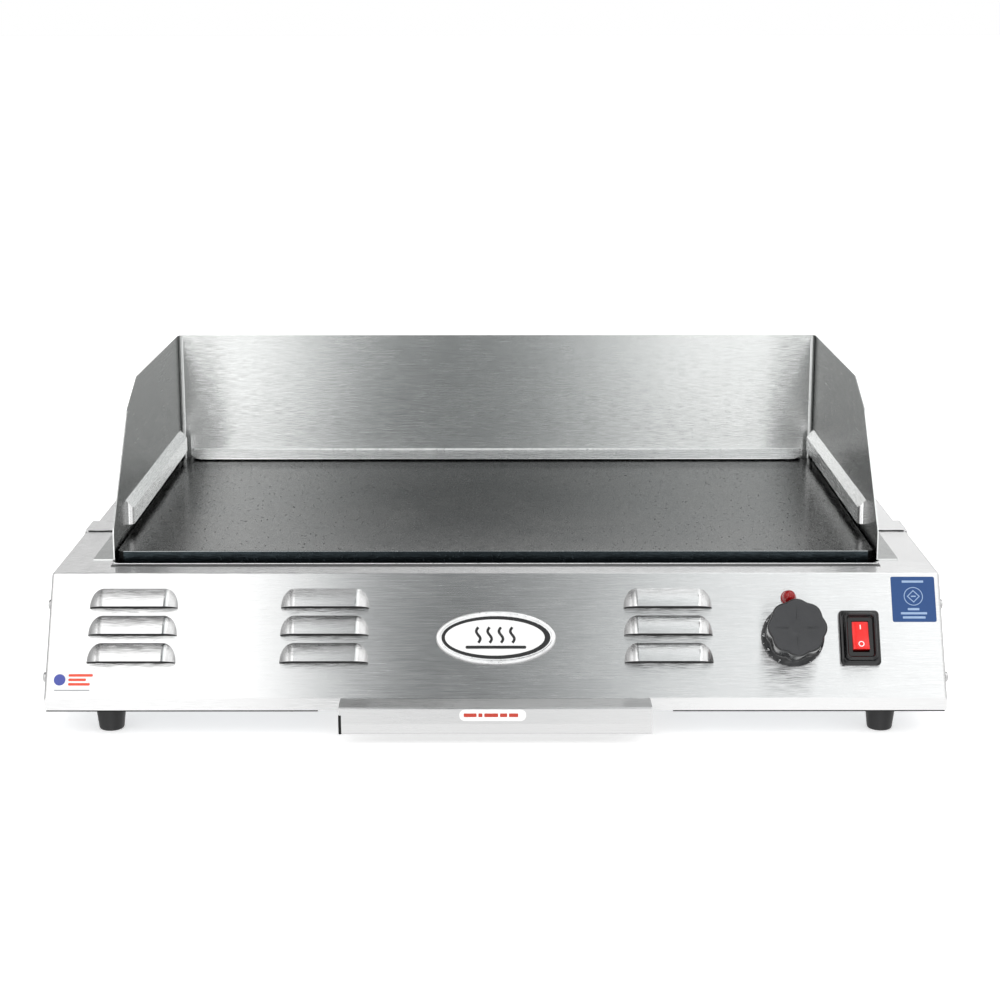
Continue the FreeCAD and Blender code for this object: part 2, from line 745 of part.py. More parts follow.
def heating_element(label, side):
    """A tubular element bent into four runs, pressed up against the plate."""
    body = piece(label)
    height = f"({PLATE_UNDER} - element_radius - 0.2)"
    end, near, far = (f"{side} * element_{word}" for word in ("end", "near", "far"))
    bend = "(element_pitch / 2)"
    rows = [f"element_front + {row} * element_pitch" for row in range(4)]
    far_bow = f"{far} + {side} * {bend}"
    near_bow = f"{near} - {side} * {bend}"
    route = [(end, rows[0]), (far, rows[0], far_bow, f"{rows[0]} + {bend}"),
             (far, rows[1]), (near, rows[1], near_bow, f"{rows[1]} + {bend}"),
             (near, rows[2]), (far, rows[2], far_bow, f"{rows[2]} + {bend}"),
             (far, rows[3]), (end, rows[3])]
    path = sketch_on(body, "XY_Plane", height)
    draw_corners(path, route, closed=False)
    profile = sketch_on(body, "YZ_Plane", end)
    draw(profile, ring(rows[0], height, "element_radius"))
    pipe = body.newObject("PartDesign::AdditivePipe", "Tube")
    pipe.Profile = profile
    pipe.Spine = (path, [])
    body.Tip = pipe
    doc.recompute()
    pins = [ring(row, height, "1.6") for row in (rows[0], rows[3])]
    low, high = (f"{end} - 15", end) if side > 0 else (end, f"{end} + 15")
    add(body, "x", pins, low, high)
    return body


def stud_spots():
    return [(across, back) for across in CLAMP_X for back in CLAMP_STUD_Y]


def element_clamps():
    """Flat bars across the runs of both elements, held up by studs on the plate."""
    body = piece("element_clamps")
    for across in CLAMP_X:
        add(body, "z", [box_outline(f"{across} - 9", "clamp_front", f"{across} + 9",
                                    "clamp_back")], CLAMP_LOW, CLAMP_HIGH)
    cut(body, "z", [ring(across, back, "3.2") for across, back in stud_spots()],
        f"{CLAMP_LOW} - 1", f"{CLAMP_HIGH} + 1")
    return body


def plate_studs():
    body = piece("plate_studs")
    add(body, "z", [ring(across, back, "3") for across, back in stud_spots()],
        f"{CLAMP_LOW} - 8", PLATE_UNDER)
    return body


def stud_nuts():
    body = piece("stud_nuts")
    add(body, "z", [hexagon(across, back, "5.7") for across, back in stud_spots()],
        f"{CLAMP_LOW} - 5", CLAMP_LOW)
    cut(body, "z", [ring(across, back, "3.02") for across, back in stud_spots()],
        f"{CLAMP_LOW} - 6", f"{CLAMP_LOW} + 1")
    return body


def high_limit_switch():
    body = piece("high_limit_switch")
    add(body, "z", [ring("-12", "300", "9")], f"{PLATE_UNDER} - 10", f"{PLATE_UNDER} - 0.1")
    for across in ("-17", "-7"):
        add(body, "z", [box_outline(f"{across} - 0.4", "297", f"{across} + 0.4", "303")],
            f"{PLATE_UNDER} - 18", f"{PLATE_UNDER} - 9")
    return body


def grease_trough():
    """A channel under the slot in front of the plate, with a chute down to the tray."""
    body = piece("grease_trough")
    top = "(deck_height - gauge)"
    low = "trough_base"
    add(body, "z", [box_outline("-trough_half", "trough_front", "trough_half", "trough_back")],
        low, top)
    add(body, "z", [box_outline("-trough_half", "trough_front - 10", "trough_half",
                                "trough_front")], f"{top} - thin", top)
    add(body, "z", [box_outline("-chute_half", "chute_front", "chute_half", "chute_back")],
        "chute_low", f"{low} + thin")
    cut(body, "z", [box_outline("-(trough_half - thin)", "trough_front + thin",
                                "trough_half - thin", "trough_back - thin")],
        f"{low} + thin", f"{top} + 1")
    cut(body, "z", [box_outline("-(trough_half + 1)", "trough_back - thin - 1",
                                "trough_half + 1", "trough_back + 1")],
        f"{PLATE_UNDER} - 0.4", f"{top} + 1")
    for side in (-1, 1):
        ends = sorted([f"{side} * (trough_half + 1)", f"{side} * (plate_half - 1)"], key=number)
        cut(body, "z", [box_outline(ends[0], "plate_front - 1", ends[1], "trough_back + 1")],
            f"{PLATE_UNDER} - 0.4", f"{top} + 1")
    cut(body, "z", [box_outline("-(chute_half - thin)", "chute_front + thin",
                                "chute_half - thin", "chute_back - thin")],
        "chute_low - 1", f"{low} + 2 * thin")
    return body


# ---------------------------------------------------------------- splash guard

def guard_side_cut():
    """What is cut away in front of and above the side walls of the splash guard."""
    return [("guard_front - 30", "guard_top + 30"), ("232", "guard_top + 30"),
            ("232", "guard_top"), ("178.5", "229.5"), ("guard_front", "144"),
            ("guard_front - 30", "144")]


def splash_guard():
    """One sheet folded round three sides of the plate. It drops into the deck's opening and
    hangs on flanges turned out at its foot."""
    body = piece("splash_guard")
    inner = "(guard_half - guard_gauge)"
    add(body, "z", [box_outline("-guard_half", "guard_front", "guard_half", "guard_back")],
        "deck_height", "guard_top")
    cut(body, "z", [box_outline(minus(inner), "guard_front - 1", inner,
                                "guard_back - guard_gauge")],
        "deck_height - 1", "guard_top + 1")
    round_edges(body, "guard_corner - guard_gauge", "z",
                [(minus(inner), "guard_back - guard_gauge"),
                 (inner, "guard_back - guard_gauge")])
    round_edges(body, "guard_corner", "z", [("-guard_half", "guard_back"),
                                            ("guard_half", "guard_back")])
    cut(body, "x", [guard_side_cut()], "-guard_half - 1", "guard_half + 1")
    round_edges(body, "8", "x", [("178.5", "229.5"), ("guard_front", "144")])
    round_edges(body, "3", "x", [("232", "guard_top")])
    for side in (-1, 1):
        ends = sorted([f"{side} * (guard_half + guard_flange)",
                       f"{side} * (guard_half - guard_gauge / 2)"], key=number)
        add(body, "z", [box_outline(ends[0], "guard_front", ends[1], "guard_foot_end")],
            "deck_height", "deck_height + guard_gauge")
    add(body, "z", [box_outline("-(guard_half - 12)", "guard_back - guard_gauge / 2",
                                "guard_half - 12", "body_depth - 3")],
        "deck_height", "deck_height + guard_gauge")
    for side in (-1, 1):
        ends = sorted([f"{side} * (guard_half + 1)", f"{side} * ({inner} - 1)"], key=number)
        cut(body, "z", [box_outline(ends[0], "guard_foot_end", ends[1], "guard_back - 8")],
            "deck_height - 1", "deck_height + gauge + 0.3")
    return body


def side_strip(label, side):
    """A formed strip inside a side wall, which leads splashes back onto the plate."""
    body = piece(label)
    wall = f"({side} * (guard_half - guard_gauge))"
    edge = f"({side} * strip_edge)"
    outline = [(wall, "strip_top"), (edge, "strip_bend"), (edge, "strip_low"),
               (wall, "strip_low")]
    add(body, "y", [outline], "strip_front", "strip_back")
    round_edges(body, "strip_round", "z", [(edge, "strip_front")])
    to_body = body.Placement.inverse()
    wall_x = number(wall)
    low_z = number("strip_low")
    open_faces = []
    for place, face in enumerate(body.Shape.Faces, start=1):
        middle = to_body.multVec(face.CenterOfMass)
        if abs(middle.x - wall_x) < 0.01 or abs(middle.z - low_z) < 0.01:
            open_faces.append(f"Face{place}")
    base = body.Tip
    shell = body.newObject("PartDesign::Thickness", "Shell")
    shell.Base = (base, open_faces)
    bind(shell, "Value", "thin")
    shell.Reversed = True
    shell.Mode = 0
    shell.Join = 0
    body.Tip = shell
    doc.recompute()
    return body


def back_strip():
    """The same along the back wall: a narrow shelf that slopes down onto the plate."""
    body = piece("drip_strip_back")
    wall = "(guard_back - guard_gauge)"
    front = "back_strip_front"
    add(body, "z", [box_outline("-back_strip_half", front, "back_strip_half", wall)],
        "back_strip_low - 2", "back_strip_top + 1")
    round_edges(body, "14", "z", [("-back_strip_half", front), ("back_strip_half", front)])
    above = [(f"{front} - 1", "back_strip_top + 2"), (f"{front} - 1", "back_strip_low"),
             (front, "back_strip_low"), (wall, "back_strip_top"),
             (f"{wall} + 1", "back_strip_top"), (f"{wall} + 1", "back_strip_top + 2")]
    below = [(f"{front} - 1", "back_strip_low - 3"), (f"{wall} + 1", "back_strip_low - 3"),
             (f"{wall} + 1", "back_strip_top - thin"), (wall, "back_strip_top - thin"),
             (front, "back_strip_low - thin"), (f"{front} - 1", "back_strip_low - thin")]
    for outline in (above, below):
        cut(body, "x", [outline], "-(back_strip_half + 1)", "back_strip_half + 1")
    return body


# ---------------------------------------------------------------- grease tray

def grease_tray():
    body = piece("grease_tray")
    front = "(-handle_gap)"
    add(body, "z", [box_outline("-tray_half", front, "tray_half", "tray_depth")],
        "tray_base", "tray_rim")
    cut(body, "z", [box_outline("-(tray_half - tray_gauge)", f"{front} + tray_gauge",
                                "tray_half - tray_gauge", "tray_depth - tray_gauge")],
        "tray_base + tray_gauge", "tray_rim + 1")
    round_edges(body, "3.1", "z", [("-(tray_half - tray_gauge)", "tray_depth - tray_gauge"),
                                   ("tray_half - tray_gauge", "tray_depth - tray_gauge")])
    round_edges(body, "4", "z", [("-tray_half", "tray_depth"), ("tray_half", "tray_depth")])
    cut(body, "y", [ring(across, "rivet_height", "1.65") for across in RIVET_X], "-5", "5")
    return body


def tray_handle():
    """A folded strip across the front of the tray: a ledge, a face and a rolled lower edge."""
    body = piece("tray_handle")
    rear = "(-handle_gap)"
    face = "(-handle_reach)"
    top = "handle_top"
    outline = [(rear, top), (face, top), (face, "18.2"), (f"{face} + 1.7", "8.8"),
               (f"{face} + 6.6", "8.8"), (f"{face} + 6.6", "17"), (f"{face} + 5.4", "17"),
               (f"{face} + 5.4", "10"), (f"{face} + 2.8", "10"), (f"{face} + gauge", "18.3"),
               (f"{face} + gauge", f"{top} - gauge"), (f"{rear} - gauge", f"{top} - gauge"),
               (f"{rear} - gauge", "14"), (rear, "14")]
    add(body, "x", [outline], "-handle_half", "handle_half")
    round_edges(body, "1.5", "x", [(face, top)])
    round_edges(body, "2.4", "x", [(f"{face} + 1.7", "8.8"), (f"{face} + 6.6", "8.8")])
    round_edges(body, "1.2", "x", [(f"{face} + 5.4", "10"), (f"{face} + 2.8", "10")])
    cut(body, "y", [ring(across, "rivet_height", "1.65") for across in RIVET_X],
        f"{rear} - 2 * gauge", "1")
    return body


def tray_rivets():
    body = piece("tray_rivets")
    rear = "(-handle_gap)"
    shanks = [ring(across, "rivet_height", "1.6") for across in RIVET_X]
    heads = [ring(across, "rivet_height", "3") for across in RIVET_X]
    add(body, "y", shanks, f"{rear} - gauge - 0.5", f"{rear} + tray_gauge + 0.5")
    add(body, "y", heads, f"{rear} - gauge - 1", f"{rear} - gauge")
    add(body, "y", heads, f"{rear} + tray_gauge", f"{rear} + tray_gauge + 1")
    return body


def tray_runner(label, side):
    """A hanging rail with an inward ledge that one side of the tray slides on."""
    body = piece(label)
    web = "(tray_half + 1.1)"
    ledge = "(tray_base - 0.05)"
    top = "(lip_base + gauge)"
    profile = [(f"{side} * ({web} - 11)", f"{ledge} - gauge"),
               (f"{side} * ({web} + gauge)", f"{ledge} - gauge"),
               (f"{side} * ({web} + gauge)", f"{top} - gauge"),
               (f"{side} * ({web} + 15)", f"{top} - gauge"),
               (f"{side} * ({web} + 15)", top),
               (f"{side} * {web}", top),
               (f"{side} * {web}", ledge),
               (f"{side} * ({web} - 11)", ledge)]
    add(body, "y", [profile], "return_depth + 4", "channel_depth - 2")
    return body


# ---------------------------------------------------------------- controls on the panel

def thermostat_knob():
    """A lobed grip on a round skirt, hollow underneath, pushed on the thermostat's shaft."""
    body = panel_piece("thermostat_knob", "knob_across", "knob_up")
    add(body, "z", [ring("0", "0", "skirt_radius")], "0.8", "skirt_top")
    add(body, "z", [ring("0", "0", "knob_radius - 1.4")], "skirt_top", "knob_top")
    lobe = add(body, "z", [ring("knob_radius - 8", "0", "8")], "skirt_top", "knob_top")
    lobes = body.newObject("PartDesign::PolarPattern", "Lobes")
    lobes.Originals = [lobe]
    lobes.Axis = (plane_of(body, "Z_Axis"), [""])
    lobes.Angle = 360
    lobes.Occurrences = 8
    body.Tip = lobes
    doc.recompute()
    cut(body, "z", [ring("0", "0", "skirt_radius - 5")], "0", "5")
    cut(body, "z", [ring("0", "0", "shaft_radius + 0.05")], "0", "20.5")
    return body


def thermostat_shaft():
    body = panel_piece("thermostat_shaft", "knob_across", "knob_up")
    add(body, "z", [ring("0", "0", "shaft_radius")], "-19.5", "20")
    return body


def thermostat_body():
    """The thermostat behind the panel, with its bushing through the panel."""
    body = panel_piece("thermostat_body", "knob_across", "knob_up")
    add(body, "z", [box_outline("-18", "-18", "18", "18")], "-36", "-gauge")
    add(body, "z", [ring("0", "0", "4.8")], "-gauge - 1", "0.6")
    for across in ("-12", "0", "12"):
        add(body, "z", [box_outline(f"{across} - 3", "-0.4", f"{across} + 3", "0.4")],
            "-44", "-35")
    cut(body, "z", [ring("0", "0", "shaft_radius + 0.08")], "-20", "2")
    cut(body, "z", [ring("-14", "0", "1.7"), ring("14", "0", "1.7")], "-9", "0")
    return body


def thermostat_screws():
    body = panel_piece("thermostat_screws", "knob_across", "knob_up")
    add(body, "z", [ring("-14", "0", "1.65"), ring("14", "0", "1.65")], "-8", "0.8")
    add(body, "z", [ring("-14", "0", "3.3"), ring("14", "0", "3.3")], "0", "1.8")
    return body


def pilot_lens():
    """A tall red dome with a shank that the lamp sits in."""
    body = panel_piece("pilot_lens", "lamp_across", "lamp_up")
    add(body, "z", [ring("0", "0", "lens_radius")], "0", "lens_height")
    top = "lens_radius - 1.2"
    to_body = body.Placement.inverse()
    crown = [f"Edge{place}" for place, edge in enumerate(body.Shape.Edges, start=1)
             if abs(to_body.multVec(edge.CenterOfMass).z - number("lens_height")) < 0.01]
    base = body.Tip
    dome = body.newObject("PartDesign::Fillet", "Dome")
    dome.Base = (base, crown)
    bind(dome, "Radius", top)
    body.Tip = dome
    doc.recompute()
    add(body, "z", [ring("0", "0", "5")], "-16", "0.5")
    cut(body, "z", [ring("0", "0", "3.6")], "-17", "lens_height - 5")
    return body


def pilot_lamp():
    body = panel_piece("pilot_lamp", "lamp_across", "lamp_up")
    add(body, "z", [ring("0", "0", "3.4")], "-20", "lens_height - 6")
    add(body, "z", [ring("-2", "0", "0.6"), ring("2", "0", "0.6")], "-26", "-19")
    return body


def pilot_nut():
    body = panel_piece("pilot_nut", "lamp_across", "lamp_up")
    add(body, "z", [hexagon("0", "0", "8")], "-gauge - 4", "-gauge")
    cut(body, "z", [ring("0", "0", "5.02")], "-gauge - 5", "0")
    return body


def switch_bezel():
    """A stepped frame round the rocker switch."""
    body = panel_piece("switch_bezel", "switch_across", "switch_up")
    half, tall = "(switch_width / 2)", "(switch_length / 2)"
    step, rise = "(switch_width / 2 - 3.4)", "(switch_length / 2 - 3.6)"
    add(body, "z", [box_outline(minus(half), minus(tall), half, tall)], "0", "bezel_base")
    round_edges(body, "3", "z", [(minus(half), minus(tall)), (half, minus(tall)),
                                 (half, tall), (minus(half), tall)])
    add(body, "z", [box_outline(minus(step), minus(rise), step, rise)], "bezel_base",
        "bezel_top")
    round_edges(body, "2.4", "z", [(minus(step), minus(rise)), (step, minus(rise)),
                                   (step, rise), (minus(step), rise)])
    cut(body, "z", [box_outline("-recess_half", "-recess_tall", "recess_half", "recess_tall")],
        "1.6", "bezel_top + 1")
    cut(body, "z", [box_outline("-10.5", "-14.5", "10.5", "14.5")], "-1", "2")
    return body


def switch_body():
    """The switch: a flange inside the bezel, and a case behind the panel."""
    body = panel_piece("switch_body", "switch_across", "switch_up")
    add(body, "z", [box_outline("-(recess_half - 0.1)", "-(recess_tall - 0.1)",
                                "recess_half - 0.1", "recess_tall - 0.1")], "1.6", "flange_top")
    add(body, "z", [box_outline("-10.4", "-14.4", "10.4", "14.4")], "-22", "2")
    cut(body, "z", [box_outline("-(rocker_half + 0.3)", "-(rocker_tall + 0.6)",
                                "rocker_half + 0.3", "rocker_tall + 0.6")], "-8",
        "flange_top + 1")
    return body


def switch_terminals():
    body = panel_piece("switch_terminals", "switch_across", "switch_up")
    blades = [box_outline(f"{across} - 0.4", f"{up} - 3", f"{across} + 0.4", f"{up} + 3")
              for across in ("-6", "6") for up in ("-8", "8")]
    add(body, "z", blades, "-31", "-22")
    return body


def switch_rocker():
    """A shallow V seen from the side, tipped so that its upper half is pressed in."""
    body = panel_piece("switch_rocker", "switch_across", "switch_up")
    sketch = sketch_on(body, "YZ_Plane", "-rocker_half")
    sketch.AttachmentOffset = FreeCAD.Placement(Vector(0, 0, 0), Rotation(Vector(0, 0, 1), -5))
    bind(sketch, "AttachmentOffset.Base.y", "rocker_pivot")
    bind(sketch, "AttachmentOffset.Base.z", "-rocker_half")
    bind(sketch, "AttachmentOffset.Rotation.Angle", "-rocker_swing / 2")
    draw(sketch, [("-rocker_tall + 0.6", "6.4"), ("-rocker_tall + 3", "-3"),
                  ("rocker_tall - 3", "-3"), ("rocker_tall - 0.6", "6.4"),
                  ("0", "rocker_crown")])
    pad = body.newObject("PartDesign::Pad", "Pad")
    pad.Profile = sketch
    bind(pad, "Length", "2 * rocker_half")
    body.Tip = pad
    doc.recompute()
    return body


def name_plate():
    """An oval plate with a raised rim."""
    body = panel_piece("name_plate", "0.4", "badge_up")
    half, tall = "badge_width / 2", "badge_length / 2"
    add(body, "z", [oval("0", "0", half, tall)], "0", "2.4")
    cut(body, "z", [oval("0", "0", f"{half} - 2.2", f"{tall} - 2.2")], "1.5", "3")
    return body


def sticker(label, across, up, half, tall, corner):
    body = panel_piece(label, across, up)
    add(body, "z", [box_outline(minus(half), minus(tall), half, tall)], "0", "0.15")
    spots = [(first, second) for first in (minus(half), half) for second in (minus(tall), tall)]
    round_edges(body, corner, "z", spots)
    return body


def tray_label():
    body = piece("label_tray")
    add(body, "y", [box_outline("-28", "20.6", "24", "30")], "-handle_reach - 0.15",
        "-handle_reach")
    round_edges(body, "4.6", "y", [(across, height) for across in ("-28", "24")
                                   for height in ("20.6", "30")])
    return body


# ---------------------------------------------------------------- feet and fasteners

def foot(label, spot):
    """A tapered rubber foot with a recess for its screw."""
    across, back = spot
    cone = doc.addObject("Part::Cone", label + "_cone")
    bind(cone, "Radius1", "foot_tip_radius")
    bind(cone, "Radius2", "foot_radius")
    bind(cone, "Height", "lip_base + gauge")
    recess = doc.addObject("Part::Cylinder", label + "_recess")
    bind(recess, "Radius", "5.5")
    bind(recess, "Height", "foot_recess")
    bore = doc.addObject("Part::Cylinder", label + "_bore")
    bind(bore, "Radius", "2.25")
    bind(bore, "Height", "lip_base + 2 * gauge")
    hollow = doc.addObject("Part::Fuse", label + "_hollow")
    hollow.Base = recess
    hollow.Tool = bore
    body = doc.addObject("Part::Cut", label)
    body.Base = cone
    body.Tool = hollow
    body.Label = label
    bind(body, "Placement.Base.x", across)
    bind(body, "Placement.Base.y", f"front_y + {back}")
    PLAIN_PARTS.append(label)
    return body


def foot_screws():
    body = piece("foot_screws")
    spots = list(FOOT_SPOTS.values())
    add(body, "z", [ring(across, back, "4.4") for across, back in spots],
        "foot_recess - 3", "foot_recess")
    add(body, "z", [ring(across, back, "2.15") for across, back in spots],
        "foot_recess - 1", f"{PAN_TOP} + 4.5")
    return body


def foot_nuts():
    body = piece("foot_nuts")
    spots = list(FOOT_SPOTS.values())
    add(body, "z", [hexagon(across, back, "4.6") for across, back in spots], PAN_TOP,
        f"{PAN_TOP} + 3.5")
    cut(body, "z", [ring(across, back, "2.2") for across, back in spots], f"{PAN_TOP} - 1",
        f"{PAN_TOP} + 5")
    return body


def bottom_screws():
    body = piece("bottom_screws")
    spots = [(across, back) for across in BOTTOM_SCREW_X
             for back in (FRONT_SCREW_Y, REAR_SCREW_Y)]
    add(body, "z", [ring(across, back, "3.6") for across, back in spots],
        "lip_base - 2.2", "lip_base")
    add(body, "z", [ring(across, back, "2.1") for across, back in spots],
        "lip_base - 1", f"{PAN_TOP} + 3")
    return body


def side_screws():
    """Pan-head screws through the side skirts into the brackets, and through the rear sides
    into the pan's turned-up edges."""
    body = piece("side_screws")
    for spots, face in ((FRONT_SIDE_SCREWS, f"({HALF_WIDTH})"), (REAR_SIDE_SCREWS, f"({REAR_HALF})")):
        shanks = [ring(back, height, "2.1") for back, height in spots]
        heads = [ring(back, height, "4") for back, height in spots]
        add(body, "x", shanks, f"{face} - 6", f"{face} + 0.5")
        add(body, "x", shanks, f"-{face} - 0.5", f"-{face} + 6")
        add(body, "x", heads, face, f"{face} + 2.2")
        add(body, "x", heads, f"-{face} - 2.2", f"-{face}")
    return body


# ---------------------------------------------------------------- electrical pieces

def cord_gland():
    """The inlet for the supply cord: a flanged bush through the back."""
    body = piece("cord_gland")
    at = ("gland_across", "gland_height")
    add(body, "y", [ring(*at, "gland_radius")], "body_depth - 16", "body_depth + 0.5")
    add(body, "y", [ring(*at, "gland_radius + 3")], "body_depth", "body_depth + 4")
    add(body, "y", [ring(*at, "gland_radius - 1.5")], "body_depth + 3", "body_depth + 14")
    cut(body, "y", [ring(*at, "gland_bore")], "body_depth - 17", "body_depth + 15")
    return body


def gland_nut():
    body = piece("gland_nut")
    at = ("gland_across", "gland_height")
    add(body, "y", [hexagon(*at, "gland_radius + 4.5")], "body_depth - gauge - 5",
        "body_depth - gauge")
    cut(body, "y", [ring(*at, "gland_radius + 0.02")], "body_depth - gauge - 6", "body_depth")
    return body


def terminal_block():
    """A moulded block on the pan, with three wire ways."""
    body = piece("terminal_block")
    add(body, "z", [box_outline("200", "390", "248", "414")], PAN_TOP, f"{PAN_TOP} + 20")
    cut(body, "y", [ring(across, f"{PAN_TOP} + 9", "2.4") for across in ("210", "224", "238")],
        "389", "415")
    return body


def earth_stud():
    body = piece("earth_stud")
    at = ("earth_across", "earth_back")
    add(body, "z", [ring(*at, "2")], f"{PAN_TOP} - gauge", f"{PAN_TOP} + 14")
    add(body, "z", [hexagon(*at, "4.4")], PAN_TOP, f"{PAN_TOP} + 3.2")
    return body


def panel_spot(across, up, out):
    """A point given on the sloped panel, in the object's frame."""
    tilt = number(TILT)
    lean = Rotation(Vector(1, 0, 0), 90 - tilt)
    foot_point = Vector(0, number("front_y"), number("bend_height"))
    return foot_point + lean.multVec(Vector(number(across), number(up), number(out)))


def body_spot(across, back, height):
    return Vector(number(across), number("front_y") + number(back), number(height))


def tube(label, spots, radius, arc=0.4):
    """A round tube along straight runs joined by tangent arcs."""
    edges = []
    start = spots[0]
    for before, corner, after in zip(spots, spots[1:], spots[2:]):
        to_before = (before - corner)
        to_after = (after - corner)
        reach = arc * min(to_before.Length, to_after.Length)
        into = corner + to_before.normalize() * reach
        leave = corner + to_after.normalize() * reach
        bisector = (to_before + to_after).normalize()
        half_turn = to_before.getAngle(to_after) / 2
        centre_distance = reach / math.cos(half_turn)
        curve_radius = reach * math.tan(half_turn)
        middle = corner + bisector * (centre_distance - curve_radius)
        edges.append(Part.LineSegment(start, into).toShape())
        edges.append(Part.Arc(into, middle, leave).toShape())
        start = leave
    edges.append(Part.LineSegment(start, spots[-1]).toShape())
    path = Part.Wire(edges)
    circle = Part.Circle(spots[0], (spots[1] - spots[0]).normalize(), radius)
    profile = Part.Wire([circle.toShape()])
    item = doc.addObject("Part::Feature", label)
    item.Shape = path.makePipeShell([profile], True, False)
    item.Label = label
    PLAIN_PARTS.append(label)
    return item


def capillary_tube():
    """The thermostat's sensing tube: up in front of the trough, down past it, and back through
    the front rail to its bulb under the plate."""
    low = "trough_base - 5"
    spots = [panel_spot("knob_across - 22", "40", "-30"), body_spot("190", "70", "60"),
             body_spot("60", "80", low), body_spot("30", "90", low),
             body_spot("30", "120", low), body_spot("15", "150", "112.6"),
             body_spot("15", "262", "112.6")]
    return tube("capillary_tube", spots, 1.2)


def supply_wires():
    """One insulated lead from the terminal block forward to the switch."""
    spots = [body_spot("238", "389", f"{PAN_TOP} + 9"), body_spot("238", "370", f"{PAN_TOP} + 9"),
             body_spot("290", "330", f"{PAN_TOP} + 9"), body_spot("310", "300", "34"),
             body_spot("310", "110", "34"), panel_spot("294.7", "40", "-34")]
    return tube("lead_switch", spots, 1.6)


# ---------------------------------------------------------------- the assembly

PLAIN_PARTS = []
front_panel()
rear_housing()
base_pan()
side_bracket("side_bracket_left", -1)
side_bracket("side_bracket_right", 1)
tray_channel()
griddle_plate()
front_rail()
rear_rail()
heat_shield()
insulation_mat()
heating_element("heating_element_left", -1)
heating_element("heating_element_right", 1)
element_clamps()
plate_studs()
stud_nuts()
high_limit_switch()
grease_trough()
splash_guard()
side_strip("drip_strip_left", -1)
side_strip("drip_strip_right", 1)
back_strip()
grease_tray()
tray_handle()
tray_rivets()
tray_runner("tray_runner_left", -1)
tray_runner("tray_runner_right", 1)
thermostat_knob()
thermostat_shaft()
thermostat_body()
thermostat_screws()
pilot_lens()
pilot_lamp()
pilot_nut()
switch_bezel()
switch_body()
switch_terminals()
switch_rocker()
name_plate()
sticker("label_square", "333.6", "80.3", "17.5", "18.7", "1.5")
sticker("label_striped", "-332.8", "13.2", "17.5", "8", "0.8")
tray_label()
for name, spot in FOOT_SPOTS.items():
    foot(name, spot)
foot_screws()
foot_nuts()
bottom_screws()
side_screws()
cord_gland()
gland_nut()
terminal_block()
earth_stud()
capillary_tube()
supply_wires()


# ---------------------------------------------------------------- check and write

def sub_parts():
    labels = []
    for item in doc.Objects:
        if item.TypeId == "PartDesign::Body" or item.Label in PLAIN_PARTS:
            labels.append(item)
    return labels


def write_parts():
    doc.recompute()
    for item in doc.Objects:
        if "Invalid" in item.State or "Error" in item.State:
            raise RuntimeError(f"{item.Label} failed: {item.State}")
    parts = sub_parts()
    for item in parts:
        if item.Shape.isNull() or not item.Shape.isValid():
            raise RuntimeError(f"{item.Label} has no valid shape")
    os.makedirs("parts", exist_ok=True)
    for item in parts:
        item.Shape.exportStep(f"parts/{item.Label}.step")
    print(f"wrote {len(parts)} parts")


write_parts()
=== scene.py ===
import json
import math

import bmesh
import bpy
from mathutils import Matrix, Vector

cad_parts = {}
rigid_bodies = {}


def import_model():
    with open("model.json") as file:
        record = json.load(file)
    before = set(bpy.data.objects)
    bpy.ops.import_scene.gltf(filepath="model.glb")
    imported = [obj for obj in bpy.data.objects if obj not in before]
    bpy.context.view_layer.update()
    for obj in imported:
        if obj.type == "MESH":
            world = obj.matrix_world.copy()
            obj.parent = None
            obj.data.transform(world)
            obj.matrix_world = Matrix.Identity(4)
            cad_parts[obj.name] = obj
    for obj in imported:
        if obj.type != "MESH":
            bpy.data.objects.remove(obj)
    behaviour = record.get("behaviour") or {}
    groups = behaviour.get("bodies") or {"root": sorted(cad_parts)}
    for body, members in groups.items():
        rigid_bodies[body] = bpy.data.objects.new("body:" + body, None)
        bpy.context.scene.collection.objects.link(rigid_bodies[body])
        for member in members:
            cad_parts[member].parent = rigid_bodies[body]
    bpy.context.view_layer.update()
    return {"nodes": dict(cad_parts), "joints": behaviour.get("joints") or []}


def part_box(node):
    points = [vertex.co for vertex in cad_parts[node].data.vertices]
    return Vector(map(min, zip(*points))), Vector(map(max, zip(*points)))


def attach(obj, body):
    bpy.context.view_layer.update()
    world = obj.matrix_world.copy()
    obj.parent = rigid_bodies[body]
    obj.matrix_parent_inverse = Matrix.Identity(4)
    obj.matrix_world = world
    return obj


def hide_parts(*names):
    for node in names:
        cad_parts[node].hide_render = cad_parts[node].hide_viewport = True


for leftover in list(bpy.data.objects):
    bpy.data.objects.remove(leftover)
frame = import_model()
nodes = frame["nodes"]
joints = {joint["name"]: joint for joint in frame["joints"]}
MM = 0.001

# The sloped panel: x across, y up the slope, z out of its face. Its origin is the knob's joint.
KNOB_JOINT = joints["knob_turn"]
PANEL_NORMAL = Vector(KNOB_JOINT["axis"]).normalized()
PANEL_ACROSS = Vector((1, 0, 0))
PANEL_UP = PANEL_NORMAL.cross(PANEL_ACROSS)


def placed(origin, across=PANEL_ACROSS, up=PANEL_UP, out=PANEL_NORMAL):
    """A matrix whose columns are the three directions, at an origin."""
    turned = Matrix((across, up, out)).transposed().to_4x4()
    turned.translation = origin
    return turned


PANEL = placed(Vector(KNOB_JOINT["pos_m"]))
PLATE_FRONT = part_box("griddle_plate")[0][1]
PLATE_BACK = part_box("griddle_plate")[1][1]
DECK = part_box("front_panel")[1][2] / MM
RING_AT = (0.001, PLATE_FRONT + 0.0045, 0.0)
RING_WIDE, RING_DEEP = 0.0135, 0.012


